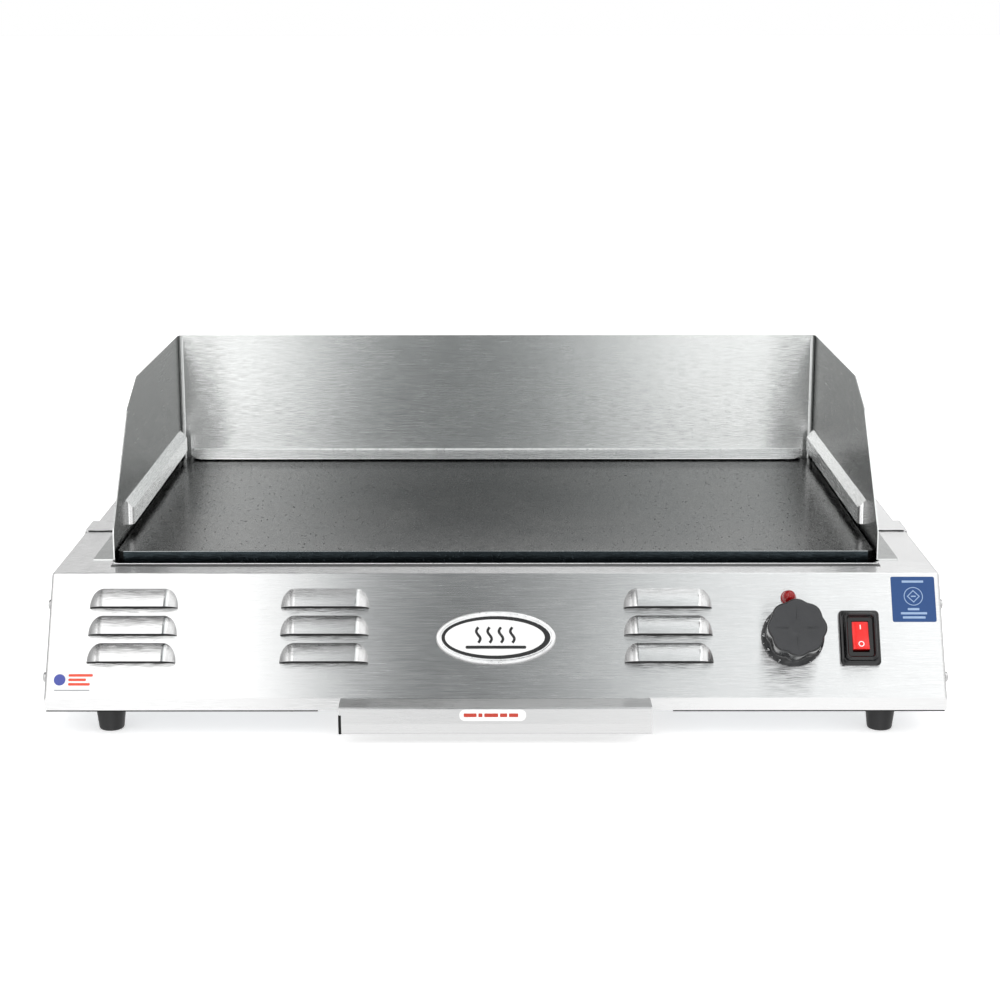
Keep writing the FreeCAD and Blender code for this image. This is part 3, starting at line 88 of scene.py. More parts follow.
def extent(node, matrix=Matrix.Identity(4)):
    """A CAD node's lowest and highest corners in the frame that the matrix gives."""
    inverse = matrix.inverted()
    spots = [inverse @ vertex.co for vertex in nodes[node].data.vertices]
    low = Vector([min(spot[axis] for spot in spots) for axis in range(3)])
    high = Vector([max(spot[axis] for spot in spots) for axis in range(3)])
    return low, high


def panel_at(node):
    """The panel frame moved to the middle of a CAD node that stands on the panel."""
    low, high = extent(node, PANEL)
    middle = Vector(((low.x + high.x) / 2, (low.y + high.y) / 2, 0))
    return placed(PANEL @ middle)


# ---------------------------------------------------------------- node helpers

class Graph:
    """Short ways to build a material's nodes."""

    def __init__(self, tree):
        self.tree = tree

    def node(self, kind, inputs=None, **settings):
        made = self.tree.nodes.new(kind)
        for key, setting in settings.items():
            setattr(made, key, setting)
        for key, given in (inputs or {}).items():
            self.feed(made.inputs[key], given)
        return made

    def feed(self, socket, given):
        if isinstance(given, bpy.types.NodeSocket):
            self.tree.links.new(given, socket)
        else:
            socket.default_value = given

    def math(self, operation, first, second=0.0, clamp=False):
        made = self.node("ShaderNodeMath", {0: first, 1: second}, operation=operation,
                         use_clamp=clamp)
        return made.outputs[0]

    def vector(self, operation, first, second=(0, 0, 0)):
        made = self.node("ShaderNodeVectorMath", {0: first, 1: second}, operation=operation)
        return made.outputs[0]

    def scale(self, given, factor):
        """A vector or a colour times one number."""
        made = self.node("ShaderNodeVectorMath", {0: given, "Scale": factor}, operation="SCALE")
        return made.outputs[0]

    def blend(self, *parts):
        """The sum of pairs of a number and its weight."""
        total = self.math("MULTIPLY", *parts[0])
        for given, weight in parts[1:]:
            total = self.math("ADD", total, self.math("MULTIPLY", given, weight))
        return total

    def mix(self, factor, first, second):
        """One colour fading into another; a Mix node keeps its colours in sockets 6 and 7."""
        made = self.node("ShaderNodeMix", {0: factor}, data_type="RGBA")
        self.feed(made.inputs[6], first)
        self.feed(made.inputs[7], second)
        return made.outputs[2]

    def remap(self, given, low, high, to_low, to_high):
        made = self.node("ShaderNodeMapRange", {0: given, 1: low, 2: high, 3: to_low, 4: to_high})
        return made.outputs[0]

    def ramp(self, given, stops):
        """A colour ramp from (place, colour) stops."""
        made = self.node("ShaderNodeValToRGB", {0: given})
        elements = made.color_ramp.elements
        while len(elements) < len(stops):
            elements.new(0.5)
        for element, (place, colour) in zip(elements, stops):
            element.position = place
            element.color = colour
        return made.outputs[0]

    def noise(self, where, scale, detail=2.0, roughness=0.5, distortion=0.0):
        made = self.node("ShaderNodeTexNoise", {"Vector": where, "Scale": scale, "Detail": detail,
                                                "Roughness": roughness, "Distortion": distortion})
        return made.outputs[0]

    def stretched(self, where, factors, detail=2.0, roughness=0.5, distortion=0.0):
        """Noise with its own scale along each axis."""
        return self.noise(self.vector("MULTIPLY", where, factors), 1.0, detail, roughness,
                          distortion)

    def bump(self, height, strength, distance, normal=None):
        inputs = {"Height": height, "Strength": strength, "Distance": distance}
        if normal is not None:
            inputs["Normal"] = normal
        return self.node("ShaderNodeBump", inputs).outputs[0]

    def leant(self, normal, way, amount):
        """The normal tipped towards a direction."""
        return self.vector("NORMALIZE", self.vector("ADD", normal, self.scale(way, amount)))


def grey(value):
    return (value, value, value, 1)


def material(name, **settings):
    """A new material with a Principled shader, whose uniform values are set on its sockets."""
    made = bpy.data.materials.new(name)
    made.use_nodes = True
    made.node_tree.nodes.clear()
    graph = Graph(made.node_tree)
    shader = graph.node("ShaderNodeBsdfPrincipled", settings)
    graph.node("ShaderNodeOutputMaterial", {"Surface": shader.outputs[0]})
    where = graph.node("ShaderNodeTexCoord").outputs["Object"]
    return made, graph, shader, where


# ---------------------------------------------------------------- materials

def brushed_steel(name, tone, roughness, streak=1.0, tint=(1.0, 1.0, 1.0), lean=1.2, lift=0.0,
                  side=1.0, flat=1.0, grazing=1.0):
    """Brushed sheet. Its grain runs across, or from front to back on a face that looks sideways,
    and a reflection spreads square to the grain. The scratches tip the normal by up to half of
    lean, about a mean of lift. The tone is multiplied by side on faces that look sideways, a
    painted shade, and by flat on level ones, a painted light, and grazing tints what is seen at
    a shallow angle."""
    made, graph, shader, where = material(name, Metallic=1.0, Anisotropic=1.0)
    shader.inputs["Specular Tint"].default_value = grey(grazing)
    normal = graph.node("ShaderNodeNewGeometry").outputs["Normal"]
    facing = graph.node("ShaderNodeSeparateXYZ", {0: graph.vector("ABSOLUTE", normal)}).outputs
    is_side = graph.math("GREATER_THAN", facing[0], 0.7)
    grain = graph.mix(is_side, (1, 0, 0, 1), (0, 1, 0, 1))
    crossways = graph.vector("CROSS_PRODUCT", normal, grain)
    graph.feed(shader.inputs["Tangent"], crossways)

    def streaks(lengthways, sideways, detail=2.0, rough=0.5):
        """Noise drawn out along the grain; its scales are in streaks per metre."""
        factors = graph.mix(is_side, (lengthways, sideways, sideways, 1),
                            (sideways, lengthways, sideways, 1))
        return graph.stretched(where, factors, detail, rough)

    height = graph.blend((streaks(50, 1900, 3.0, 0.6), 0.65), (streaks(22, 1300), 0.35))
    cloud = graph.noise(where, 9.0, 4.0, 0.55, 0.4)
    spread = graph.remap(height, 0.3, 0.7, -0.055 * streak, 0.055 * streak)
    clouded = graph.remap(cloud, 0.35, 0.65, -0.02, 0.02)
    level = graph.math("ADD", graph.math("ADD", spread, clouded), 1.0)
    # Painted shade and painted light: the tone is scaled by side on faces that look sideways and
    # by flat on level ones.
    level = graph.math("MULTIPLY", level, graph.remap(facing[0], 0.6, 0.8, 1.0, side))
    level = graph.math("MULTIPLY", level, graph.remap(facing[2], 0.85, 0.97, 1.0, flat))
    colour = tuple(tone * channel for channel in tint)
    graph.feed(shader.inputs["Base Color"], graph.scale(colour, level))
    uneven = graph.blend((height, 1.0), (cloud, 0.4))
    graph.feed(shader.inputs["Roughness"],
               graph.remap(uneven, 0.45, 0.95, roughness - 0.06, roughness + 0.06))
    scratches = graph.math("SUBTRACT", streaks(90, 4200), 0.5)
    amount = graph.math("ADD", graph.math("MULTIPLY", scratches, lean), lift)
    graph.feed(shader.inputs["Normal"],
               graph.bump(height, 0.015, 0.0002, graph.leant(normal, crossways, amount)))
    return made


def zinc_sheet():
    made, graph, shader, where = material("zinc_sheet", Metallic=0.85)
    cells = graph.node("ShaderNodeTexVoronoi", {"Vector": where, "Scale": 140.0})
    shade = graph.node("ShaderNodeSeparateColor", {0: cells.outputs["Color"]}).outputs[0]
    graph.feed(shader.inputs["Base Color"], graph.ramp(shade, [(0.0, (0.36, 0.38, 0.4, 1)),
                                                               (1.0, (0.56, 0.58, 0.6, 1))]))
    graph.feed(shader.inputs["Roughness"], graph.remap(shade, 0, 1, 0.38, 0.6))
    fine = graph.noise(where, 900.0)
    graph.feed(shader.inputs["Normal"], graph.bump(fine, 0.15, 0.0001))
    return made


def plate_steel():
    """Ground plate steel, darkened by use: long mottled clouds, fine pits, pale specks and one
    round mark at the front, and a blued front face. A painted highlight lightens the upper edge,
    and a painted shade band runs along the back, under the strip."""
    made, graph, shader, where = material("plate_steel", Metallic=1.0, Anisotropic=0.55)
    spot = graph.node("ShaderNodeSeparateXYZ", {0: where}).outputs
    normal = graph.node("ShaderNodeNewGeometry").outputs["Normal"]
    facing = graph.node("ShaderNodeSeparateXYZ", {0: normal}).outputs
    cloud = graph.stretched(where, (9, 7, 9), 6.0, 0.62, 0.6)
    patch = graph.stretched(where, (60, 26, 60), 5.0, 0.7)
    grain = graph.stretched(where, (620, 190, 620), 3.0, 0.7)
    shade = graph.blend((cloud, 0.45), (patch, 0.25), (grain, 0.3))
    colour = graph.ramp(shade, [(0.34, (0.078, 0.08, 0.081, 1)), (0.5, (0.126, 0.127, 0.125, 1)),
                                (0.66, (0.19, 0.188, 0.183, 1))])
    pits = graph.remap(graph.stretched(where, (420, 150, 420), 2.0, 0.7), 0.64, 0.7, 0.0, 1.0)
    colour = graph.mix(pits, colour, (0.05, 0.05, 0.052, 1))
    specks = graph.noise(graph.vector("ADD", where, (3, 7, 1)), 640.0, 1.0)
    colour = graph.mix(graph.remap(specks, 0.7, 0.74, 0.0, 0.8), colour, (0.42, 0.41, 0.4, 1))

    away = graph.vector("MULTIPLY", graph.vector("SUBTRACT", where, RING_AT),
                        (1 / RING_WIDE, 1 / RING_DEEP, 0))
    away = graph.node("ShaderNodeVectorMath", {0: away}, operation="LENGTH").outputs["Value"]
    off_line = graph.math("ABSOLUTE", graph.math("SUBTRACT", away, 1.0))
    ring = graph.math("SUBTRACT", 1.0, graph.math("MULTIPLY", off_line, 11.0), True)
    colour = graph.mix(graph.math("MULTIPLY", ring, 0.65), colour, (0.05, 0.05, 0.055, 1))

    # Painted shade: the plate goes nearly black towards the back, under the strip, with a ragged
    # edge.
    back_shade_edge = graph.math("ADD", spot[1], graph.math("MULTIPLY", patch, 0.012))
    back_shade = graph.remap(back_shade_edge, PLATE_BACK - 0.052, PLATE_BACK - 0.034, 0.0, 0.97)
    colour = graph.mix(back_shade, colour, grey(0.008))
    front = graph.remap(graph.math("MULTIPLY", facing[1], -1.0), 0.85, 0.97, 0.0, 1.0)
    colour = graph.mix(front, colour, (0.042, 0.054, 0.06, 1))
    # Painted highlight: the rounded upper edge gets a lighter colour.
    plate_edge_highlight = graph.math("MULTIPLY", graph.remap(facing[2], 0.15, 0.4, 0.0, 1.0),
                            graph.remap(facing[2], 0.8, 0.97, 1.0, 0.0))
    graph.feed(shader.inputs["Base Color"], graph.mix(plate_edge_highlight, colour, (0.3, 0.31, 0.31, 1)))

    graph.feed(shader.inputs["Roughness"],
               graph.blend((graph.remap(shade, 0.3, 0.7, 0.17, 0.28), 1.0), (pits, 0.2)))
    crossways = graph.vector("CROSS_PRODUCT", normal, (1, 0, 0))
    graph.feed(shader.inputs["Tangent"], crossways)
    scratches = graph.math("SUBTRACT", graph.stretched(where, (160, 900, 900)), 0.5)
    leant = graph.leant(normal, crossways, graph.math("MULTIPLY", scratches, 0.2))
    graph.feed(shader.inputs["Normal"], graph.bump(pits, 0.3, -0.0001, leant))
    return made


def moulded(name, colour, roughness, grain=0.35, scale=1800.0, **settings):
    """Moulded plastic or rubber: a fine skin, slightly uneven in shade and gloss."""
    made, graph, shader, where = material(name, **settings)
    skin = graph.noise(where, scale, 3.0, 0.6)
    cloud = graph.noise(where, 60.0, 3.0)
    darker = tuple(channel * 0.8 for channel in colour)
    graph.feed(shader.inputs["Base Color"], graph.mix(graph.remap(cloud, 0.3, 0.7, 0.0, 1.0),
                                                      (*darker, 1), (*colour, 1)))
    graph.feed(shader.inputs["Roughness"],
               graph.remap(graph.math("ADD", skin, cloud), 0.7, 1.3, roughness - 0.05,
                           roughness + 0.05))
    graph.feed(shader.inputs["Normal"], graph.bump(skin, grain, 0.00006))
    return made


def printed(name, colour, roughness=0.38):
    """Ink or film: nearly even, with a slight mottle."""
    made, graph, shader, where = material(name, Roughness=roughness)
    mottle = graph.noise(where, 420.0, 2.0)
    darker = tuple(channel * 0.93 for channel in colour)
    graph.feed(shader.inputs["Base Color"], graph.mix(mottle, (*darker, 1), (*colour, 1)))
    graph.feed(shader.inputs["Normal"], graph.bump(mottle, 0.1, 0.00004))
    return made


def plated(name, tone, roughness):
    made, graph, shader, where = material(name, Metallic=1.0)
    cloud = graph.noise(where, 300.0, 3.0)
    graph.feed(shader.inputs["Base Color"], graph.ramp(cloud, [(0.3, grey(tone * 0.85)),
                                                               (0.7, grey(tone))]))
    graph.feed(shader.inputs["Roughness"], graph.remap(cloud, 0.3, 0.7, roughness - 0.05,
                                                       roughness + 0.08))
    graph.feed(shader.inputs["Normal"], graph.bump(graph.noise(where, 1500.0), 0.1, 0.00005))
    return made


def fibre_mat():
    made, graph, shader, where = material("fibre_mat", Roughness=0.95)
    strands = graph.noise(where, 700.0, 4.0, 0.7, 1.5)
    graph.feed(shader.inputs["Base Color"], graph.ramp(strands, [(0.3, (0.6, 0.57, 0.5, 1)),
                                                                 (0.7, (0.86, 0.84, 0.78, 1))]))
    graph.feed(shader.inputs["Normal"], graph.bump(strands, 0.8, 0.0006))
    return made


# The stainless is painted lighter on level faces by flat, and the guard painted darker on faces
# that look sideways by side: painted light and painted shade.
STAINLESS = brushed_steel("stainless_brushed", 0.64, 0.24, flat=1.25)
GUARD_STEEL = brushed_steel("stainless_guard", 0.66, 0.24, lean=0.8, lift=0.12,
                            side=0.66, grazing=0.5, tint=(0.985, 1.0, 0.99))
STRIP_STEEL = brushed_steel("stainless_strip", 0.84, 0.26, lean=0.8, lift=0.3)
TRAY_STEEL = brushed_steel("tray_brushed", 0.62, 0.3, streak=1.4, lean=0.4, lift=-0.15)
ZINC = zinc_sheet()
PLATE = plate_steel()
MAT = fibre_mat()
ELEMENT = moulded("oxidised_tube", (0.09, 0.085, 0.08), 0.55, Metallic=0.7)
PLATED = plated("plated_steel", 0.62, 0.28)
RUBBER = moulded("black_rubber", (0.011, 0.011, 0.012), 0.5, grain=0.5)
KNOB_BLACK = moulded("knob_black", (0.032, 0.033, 0.036), 0.45, grain=0.6, scale=2400.0)
SKIRT_BLACK = moulded("skirt_black", (0.014, 0.015, 0.016), 0.14, grain=0.1)
BEZEL_BLACK = moulded("bezel_black", (0.006, 0.006, 0.0065), 0.13, grain=0.08)
CERAMIC = moulded("pale_insulator", (0.74, 0.71, 0.64), 0.5)
ROCKER_RED = moulded("rocker_red", (0.75, 0.008, 0.006), 0.25, grain=0.1,
                     **{"Emission Color": (1.0, 0.015, 0.01, 1), "Emission Strength": 0.22})
LENS_RED = moulded("lens_red", (0.32, 0.002, 0.004), 0.1, grain=0.05)
WHITE_INK = printed("white_ink", (0.9, 0.9, 0.9))
WHITE_FILM = printed("white_film", (0.86, 0.86, 0.85), 0.3)
BLACK_INK = printed("black_ink", (0.012, 0.012, 0.013), 0.25)
BLUE_INK = printed("blue_ink", (0.007, 0.055, 0.2), 0.35)
RED_INK = printed("red_ink", (0.75, 0.07, 0.03), 0.35)
LEAD = moulded("lead_insulation", (0.03, 0.03, 0.03), 0.4)
WELL_RED = moulded("well_red", (0.16, 0.004, 0.008), 0.14, grain=0.05)
BADGE_RIM = plated("badge_rim", 0.9, 0.3)
PALE_INK = printed("pale_ink", (0.3, 0.42, 0.62), 0.3)
BLUE_DECAL = printed("blue_decal", (0.06, 0.08, 0.35), 0.35)
GREY_INK = printed("grey_ink", (0.35, 0.36, 0.37), 0.35)
ORANGE_INK = printed("orange_ink", (0.5, 0.035, 0.014), 0.35)
# Painted shade and painted highlights: black and dark pieces stand in for shade in openings,
# folds, laps and the trough's slot, bright beads for highlights on edges.
SHADOW_BLACK = moulded("vent_shadow", (0.004, 0.004, 0.004), 0.8)
RIM_SHADE = plated("trough_rim_shade", 0.16, 0.32)
HIGHLIGHT_BEAD = plated("highlight_bead", 0.95, 0.3)

NODE_MATERIALS = {
    STAINLESS: ["front_panel", "rear_housing"],
    GUARD_STEEL: ["splash_guard"],
    STRIP_STEEL: ["drip_strip_left", "drip_strip_right", "drip_strip_back"],
    TRAY_STEEL: ["grease_tray", "tray_handle", "tray_channel", "grease_trough",
                 "tray_runner_left", "tray_runner_right"],
    ZINC: ["base_pan", "side_bracket_left", "side_bracket_right", "plate_rail_front",
           "plate_rail_rear", "heat_shield"],
    PLATE: ["griddle_plate"],
    MAT: ["insulation_mat"],
    ELEMENT: ["heating_element_left", "heating_element_right", "element_clamps",
              "high_limit_switch", "capillary_tube"],
    PLATED: ["plate_studs", "stud_nuts", "tray_rivets", "bottom_screws", "side_screws",
             "foot_screws", "foot_nuts", "thermostat_screws", "earth_stud", "thermostat_shaft",
             "switch_terminals"],
    RUBBER: ["foot_front_left", "foot_front_right", "foot_rear_left", "foot_rear_right"],
    BEZEL_BLACK: ["switch_bezel", "switch_body", "cord_gland", "gland_nut", "pilot_nut",
                  "pilot_lamp"],
    CERAMIC: ["thermostat_body", "terminal_block"],
    KNOB_BLACK: ["thermostat_knob"],
    LENS_RED: ["pilot_lens"],
    ROCKER_RED: ["switch_rocker"],
    WHITE_FILM: ["name_plate", "label_striped", "label_tray"],
    BLUE_INK: ["label_square"],
    LEAD: ["lead_switch"],
}
for finish, names in NODE_MATERIALS.items():
    for name in names:
        holder = nodes[name]
        if not holder.material_slots:
            holder.data.materials.append(finish)
        for place in holder.material_slots:
            place.link = "OBJECT"
            place.material = finish


# ---------------------------------------------------------------- mesh helpers

def rounded(points, radius, steps=4):
    """An open line of (offset, height) points with its inner corners rounded."""
    line = [Vector(point) for point in points]
    made = [line[0]]
    for before, corner, after in zip(line, line[1:], line[2:]):
        reach_in, reach_out = before - corner, after - corner
        size = min(radius, reach_in.length * 0.45, reach_out.length * 0.45)
        start, end = corner + reach_in.normalized() * size, corner + reach_out.normalized() * size
        for step in range(steps + 1):
            part = step / steps
            made.append(start * (1 - part) ** 2 + corner * 2 * part * (1 - part) + end * part ** 2)
    made.append(line[-1])
    return [tuple(spot) for spot in made]


def oval(half_x, half_y, count=96, across=0.0, up=0.0):
    return [(across + half_x * math.cos(turn), up + half_y * math.sin(turn))
            for turn in (math.tau * step / count for step in range(count))]


def circle(radius, count=64, across=0.0, up=0.0):
    return oval(radius, radius, count, across, up)


def rounded_box(half_x, half_y, corner, steps=6, across=0.0, up=0.0):
    """The outline of a box with round corners; the number of points depends only on steps."""
    made = []
    for quarter, (side_x, side_y) in enumerate(((1, 1), (-1, 1), (-1, -1), (1, -1))):
        for step in range(steps + 1):
            turn = math.radians(90) * (quarter + step / steps)
            made.append((across + side_x * (half_x - corner) + corner * math.cos(turn),
                         up + side_y * (half_y - corner) + corner * math.sin(turn)))
    return made


class Shell:
    """Collects faces in millimetres, then becomes an object in the frame of a matrix."""

    def __init__(self):
        self.spots = []
        self.faces = []
        self.finish = []

    def ring(self, outline, height=None):
        """Adds a closed ring of points and gives back their numbers."""
        first = len(self.spots)
        for spot in outline:
            self.spots.append(tuple(spot) if height is None else (spot[0], spot[1], height))
        return list(range(first, len(self.spots)))

    def face(self, numbers, finish=0):
        self.faces.append(numbers)
        self.finish.append(finish)

    def join(self, low, high, finish=0):
        """Quads from one ring to the next; a ring of one point makes triangles."""
        count = max(len(low), len(high))
        for step in range(count):
            after = (step + 1) % count
            if len(low) == 1:
                self.face([low[0], high[after], high[step]], finish)
            elif len(high) == 1:
                self.face([low[step], low[after], high[0]], finish)
            else:
                self.face([low[step], low[after], high[after], high[step]], finish)

    def loft(self, rings, finish=0, closed=False, caps=(True, True)):
        """Joins rings in a row; closed goes round to the first one, caps close the two ends."""
        for low, high in zip(rings, rings[1:]):
            self.join(low, high, finish)
        if closed:
            self.join(rings[-1], rings[0], finish)
            return
        if caps[0] and len(rings[0]) > 1:
            self.face(rings[0][::-1], finish)
        if caps[1] and len(rings[-1]) > 1:
            self.face(rings[-1], finish)

    def lathe(self, profile, count, closed=False):
        """Turns (radius, height) points about z; a radius of 0 makes one point."""
        rings = [self.ring(circle(radius, count) if radius else [(0, 0)], height)
                 for radius, height in profile]
        self.loft(rings, closed=closed)

    def slab(self, outline, low, high, finish=0, edge=0.0):
        """A flat solid on an outline, with its upper edge eased by a small chamfer."""
        rings = [self.ring(outline, low), self.ring(outline, high - edge)]
        if edge:
            middle = [sum(spot[axis] for spot in outline) / len(outline) for axis in (0, 1)]
            shrink = 1 - edge / max(math.dist(spot, middle) for spot in outline)
            eased = [tuple(middle[axis] + (spot[axis] - middle[axis]) * shrink for axis in (0, 1))
                     for spot in outline]
            rings.append(self.ring(eased, high))
        self.loft(rings, finish)

    def band(self, outer, inner, low, high, finish=0):
        """A flat solid between two outlines with the same number of points."""
        rings = [self.ring(outer, low), self.ring(outer, high), self.ring(inner, high),
                 self.ring(inner, low)]
        self.loft(rings, finish, closed=True)

    def stroke(self, line, width, low, high, finish=0):
        """A flat solid of even width along an open line of (x, y) points."""
        rings = []
        for place, (x, y) in enumerate(line):
            before, after = line[max(place - 1, 0)], line[min(place + 1, len(line) - 1)]
            ahead = Vector((after[0] - before[0], after[1] - before[1])).normalized()
            side_x, side_y = -ahead.y * width / 2, ahead.x * width / 2
            left, right = (x + side_x, y + side_y), (x - side_x, y - side_y)
            rings.append(self.ring([(*left, low), (*right, low), (*right, high), (*left, high)]))
        self.loft(rings, finish)

    def become(self, name, matrix, body, slot, finishes, replaces=(), smooth=35):
        """Makes the object: on its body, in place of the CAD nodes it replaces; the slot is not
        used.
        Edges sharper than smooth degrees stay sharp."""
        mesh = bpy.data.meshes.new(name)
        mesh.from_pydata([tuple(matrix @ (Vector(spot) * MM)) for spot in self.spots], [],
                         self.faces)
        for finish in finishes:
            mesh.materials.append(finish)
        mesh.polygons.foreach_set("material_index", self.finish)
        work = bmesh.new()
        work.from_mesh(mesh)
        bmesh.ops.recalc_face_normals(work, faces=work.faces)
        work.to_mesh(mesh)
        work.free()
        mesh.polygons.foreach_set("use_smooth", [True] * len(mesh.polygons))
        mesh.set_sharp_from_angle(angle=math.radians(smooth))
        made = bpy.data.objects.new(name, mesh)
        bpy.context.scene.collection.objects.link(made)
        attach(made, body)
        if replaces:
            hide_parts(*replaces)
        return made


def islands(node):
    """The box of each separate solid of a CAD node, from its loose parts."""
    mesh = nodes[node].data
    parent = list(range(len(mesh.vertices)))

    def root(number):
        while parent[number] != number:
            parent[number] = parent[parent[number]]
            number = parent[number]
        return number

    places = {}
    for vertex in mesh.vertices:
        key = tuple(round(value, 6) for value in vertex.co)
        parent[vertex.index] = places.setdefault(key, vertex.index)
    for edge in mesh.edges:
        parent[root(edge.vertices[0])] = root(edge.vertices[1])
    groups = {}
    for vertex in mesh.vertices:
        groups.setdefault(root(vertex.index), []).append(vertex.co)
    boxes = [tuple(Vector([pick(spot[axis] for spot in spots) for axis in range(3)])
                   for pick in (min, max)) for spots in groups.values()]
    return sorted(boxes, key=lambda box: tuple(round(value, 5) for value in box[0]))


# ---------------------------------------------------------------- the thermostat knob

SKIRT_RADIUS, GRIP_RADIUS, KNOB_TOP = 25.0, 23.4, 30.0
SKIRT_SLOPE = math.atan2(2.0, 3.8)
LOBES = 8
SPOKES = 128
DIAL_START, DIAL_TURN = 240, 300


def lobed(radius, depth):
    """A ring with eight round lobes and narrower hollows between them."""
    made = []
    for step in range(SPOKES):
        turn = math.tau * step / SPOKES
        reach = radius - depth * (1 - abs(math.cos(LOBES / 2 * turn)) ** 1.3)
        made.append((reach * math.cos(turn), reach * math.sin(turn)))
    return made


def thermostat_knob():
    """A plain skirt under a lobed grip, whose dished face has a small boss and four ribs."""
    at = panel_at("thermostat_knob")
    shell = Shell()
    profile = rounded([(19.0, 1.4), (24.2, 0.8), (SKIRT_RADIUS, 1.6), (24.9, 2.8), (22.9, 6.6)],
                      0.8)
    skirt = [shell.ring(lobed(radius, 0.0), height) for radius, height in profile]
    shell.loft(skirt, 1, caps=(True, False))
    walls = [(22.5, 0.4, 7.2), (22.35, 1.0, 8.2), (22.4, 1.6, 10.0), (22.6, 2.0, 13.0),
             (22.9, 2.1, 17.0), (23.15, 2.0, 21.0), (23.3, 1.8, 25.0), (GRIP_RADIUS, 1.6, 27.8),
             (23.35, 1.6, 28.8), (23.15, 1.6, 29.4), (22.8, 1.6, 29.8), (22.2, 1.6, KNOB_TOP)]
    grip = [skirt[-1]] + [shell.ring(lobed(radius, depth), height)
                          for radius, depth, height in walls]
    shell.loft(grip, 1, caps=(False, False))
    dish = [(20.8, 1.4, 29.97), (19.4, 1.1, 29.8), (15.0, 0.5, 29.45), (10.0, 0.2, 29.2),
            (5.6, 0.0, 29.1), (5.1, 0.0, 28.9), (4.4, 0.0, 28.8), (2.0, 0.0, 28.78)]
    face = [grip[-1]] + [shell.ring(lobed(radius, depth), height)
                         for radius, depth, height in dish]
    face.append(shell.ring([(0, 0, 28.78)]))
    shell.loft(face, 0, caps=(False, False))
    for quarter in range(4):
        turn = math.radians(90 * quarter)
        line = [(reach * math.cos(turn), reach * math.sin(turn)) for reach in (7, 11, 15, 18.5)]
        shell.stroke(line, 0.7, 28.8, 29.75, 0)
    shell.become("knob_grip", at, "thermostat_dial", "knob", [KNOB_BLACK, SKIRT_BLACK],
                 ["thermostat_knob"], smooth=40)


def dial_marks():
    """White ticks and numbers on the sloping side of the skirt."""
    shell = Shell()
    ticks, numbers = 20, range(0, 500, 50)

    def on_skirt(turn, reach, height):
        """A frame on the skirt, at an angle in degrees about the knob."""
        return (Matrix.Rotation(math.radians(turn), 4, "Z")
                @ Matrix.Translation((reach, 0, height))
                @ Matrix.Rotation(math.pi / 2 - SKIRT_SLOPE, 4, "Y"))

    for step in range(ticks + 1):
        reach, half_long, half_wide = (24.6, 0.2, 0.2) if step % 2 else (24.55, 0.55, 0.16)
        spot = on_skirt(DIAL_START - DIAL_TURN / ticks * step, reach, 3.55)
        corners = [(-half_long, -half_wide), (half_long, -half_wide), (half_long, half_wide),
                   (-half_long, half_wide)]
        shell.loft([shell.ring([spot @ Vector((*corner, height)) for corner in corners])
                    for height in (0.0, 0.06)])
    for step, number in enumerate(numbers):
        curve = bpy.data.curves.new("number", "FONT")
        curve.body = str(number)
        curve.size = 2.1
        curve.align_x = "CENTER"
        curve.align_y = "CENTER"
        curve.extrude = 0.03
        curve.resolution_u = 2
        holder = bpy.data.objects.new("number", curve)
        mesh = bpy.data.meshes.new_from_object(holder)
        spot = on_skirt(DIAL_START - DIAL_TURN / len(numbers) * step, 23.6, 5.35)
        spot = spot @ Matrix.Rotation(math.pi / 2, 4, "Z")
        first = len(shell.spots)
        shell.spots.extend(tuple(spot @ vertex.co) for vertex in mesh.vertices)
        for polygon in mesh.polygons:
            shell.face([first + corner for corner in polygon.vertices])
        bpy.data.objects.remove(holder)
        bpy.data.curves.remove(curve)
        bpy.data.meshes.remove(mesh)
    shell.become("dial_marks", panel_at("thermostat_knob"), "thermostat_dial", "knob",
                 [WHITE_INK])


# ---------------------------------------------------------------- the switch and the pilot lamp

def switch_bezel():
    """The switch's black frame with its raised collar, and the dark red well inside it."""
    at = panel_at("switch_bezel")
    half_x, half_y = 16.0, 22.4
    profile = rounded([(0.9, 0.0), (0.0, 0.1), (0.0, 2.9), (0.8, 4.4), (2.6, 4.55), (3.0, 5.0),
                       (3.35, 8.8), (4.0, 9.9), (5.0, 9.95), (5.55, 9.2), (5.75, 7.6),
                       (6.1, 7.3), (6.15, 4.2)], 0.5, 3)
    shell = Shell()
    rings = []
    for inset, height in profile:
        corner = 3.4 if inset < 2.0 else 3.9 if inset < 4.6 else 3.0
        rings.append(shell.ring(rounded_box(half_x - inset, half_y - inset, corner), height))
    shell.loft(rings, closed=True)
    shell.become("bezel_frame", at, "cabinet", "bezel", [BEZEL_BLACK], ["switch_bezel"], smooth=30)
    well = Shell()
    steps = [(9.9, 16.2, 2.4, 3.1), (9.9, 16.2, 2.4, 5.6), (8.9, 15.3, 1.9, 5.2),
             (7.3, 13.4, 0.8, 4.6), (6.75, 12.9, 0.5, 4.2), (6.75, 12.9, 0.5, 3.1)]
    well.loft([well.ring(rounded_box(half_wide, half_tall, corner), height)
               for half_wide, half_tall, corner, height in steps], closed=True)
    well.become("switch_well", at, "cabinet", "bezel", [WELL_RED])


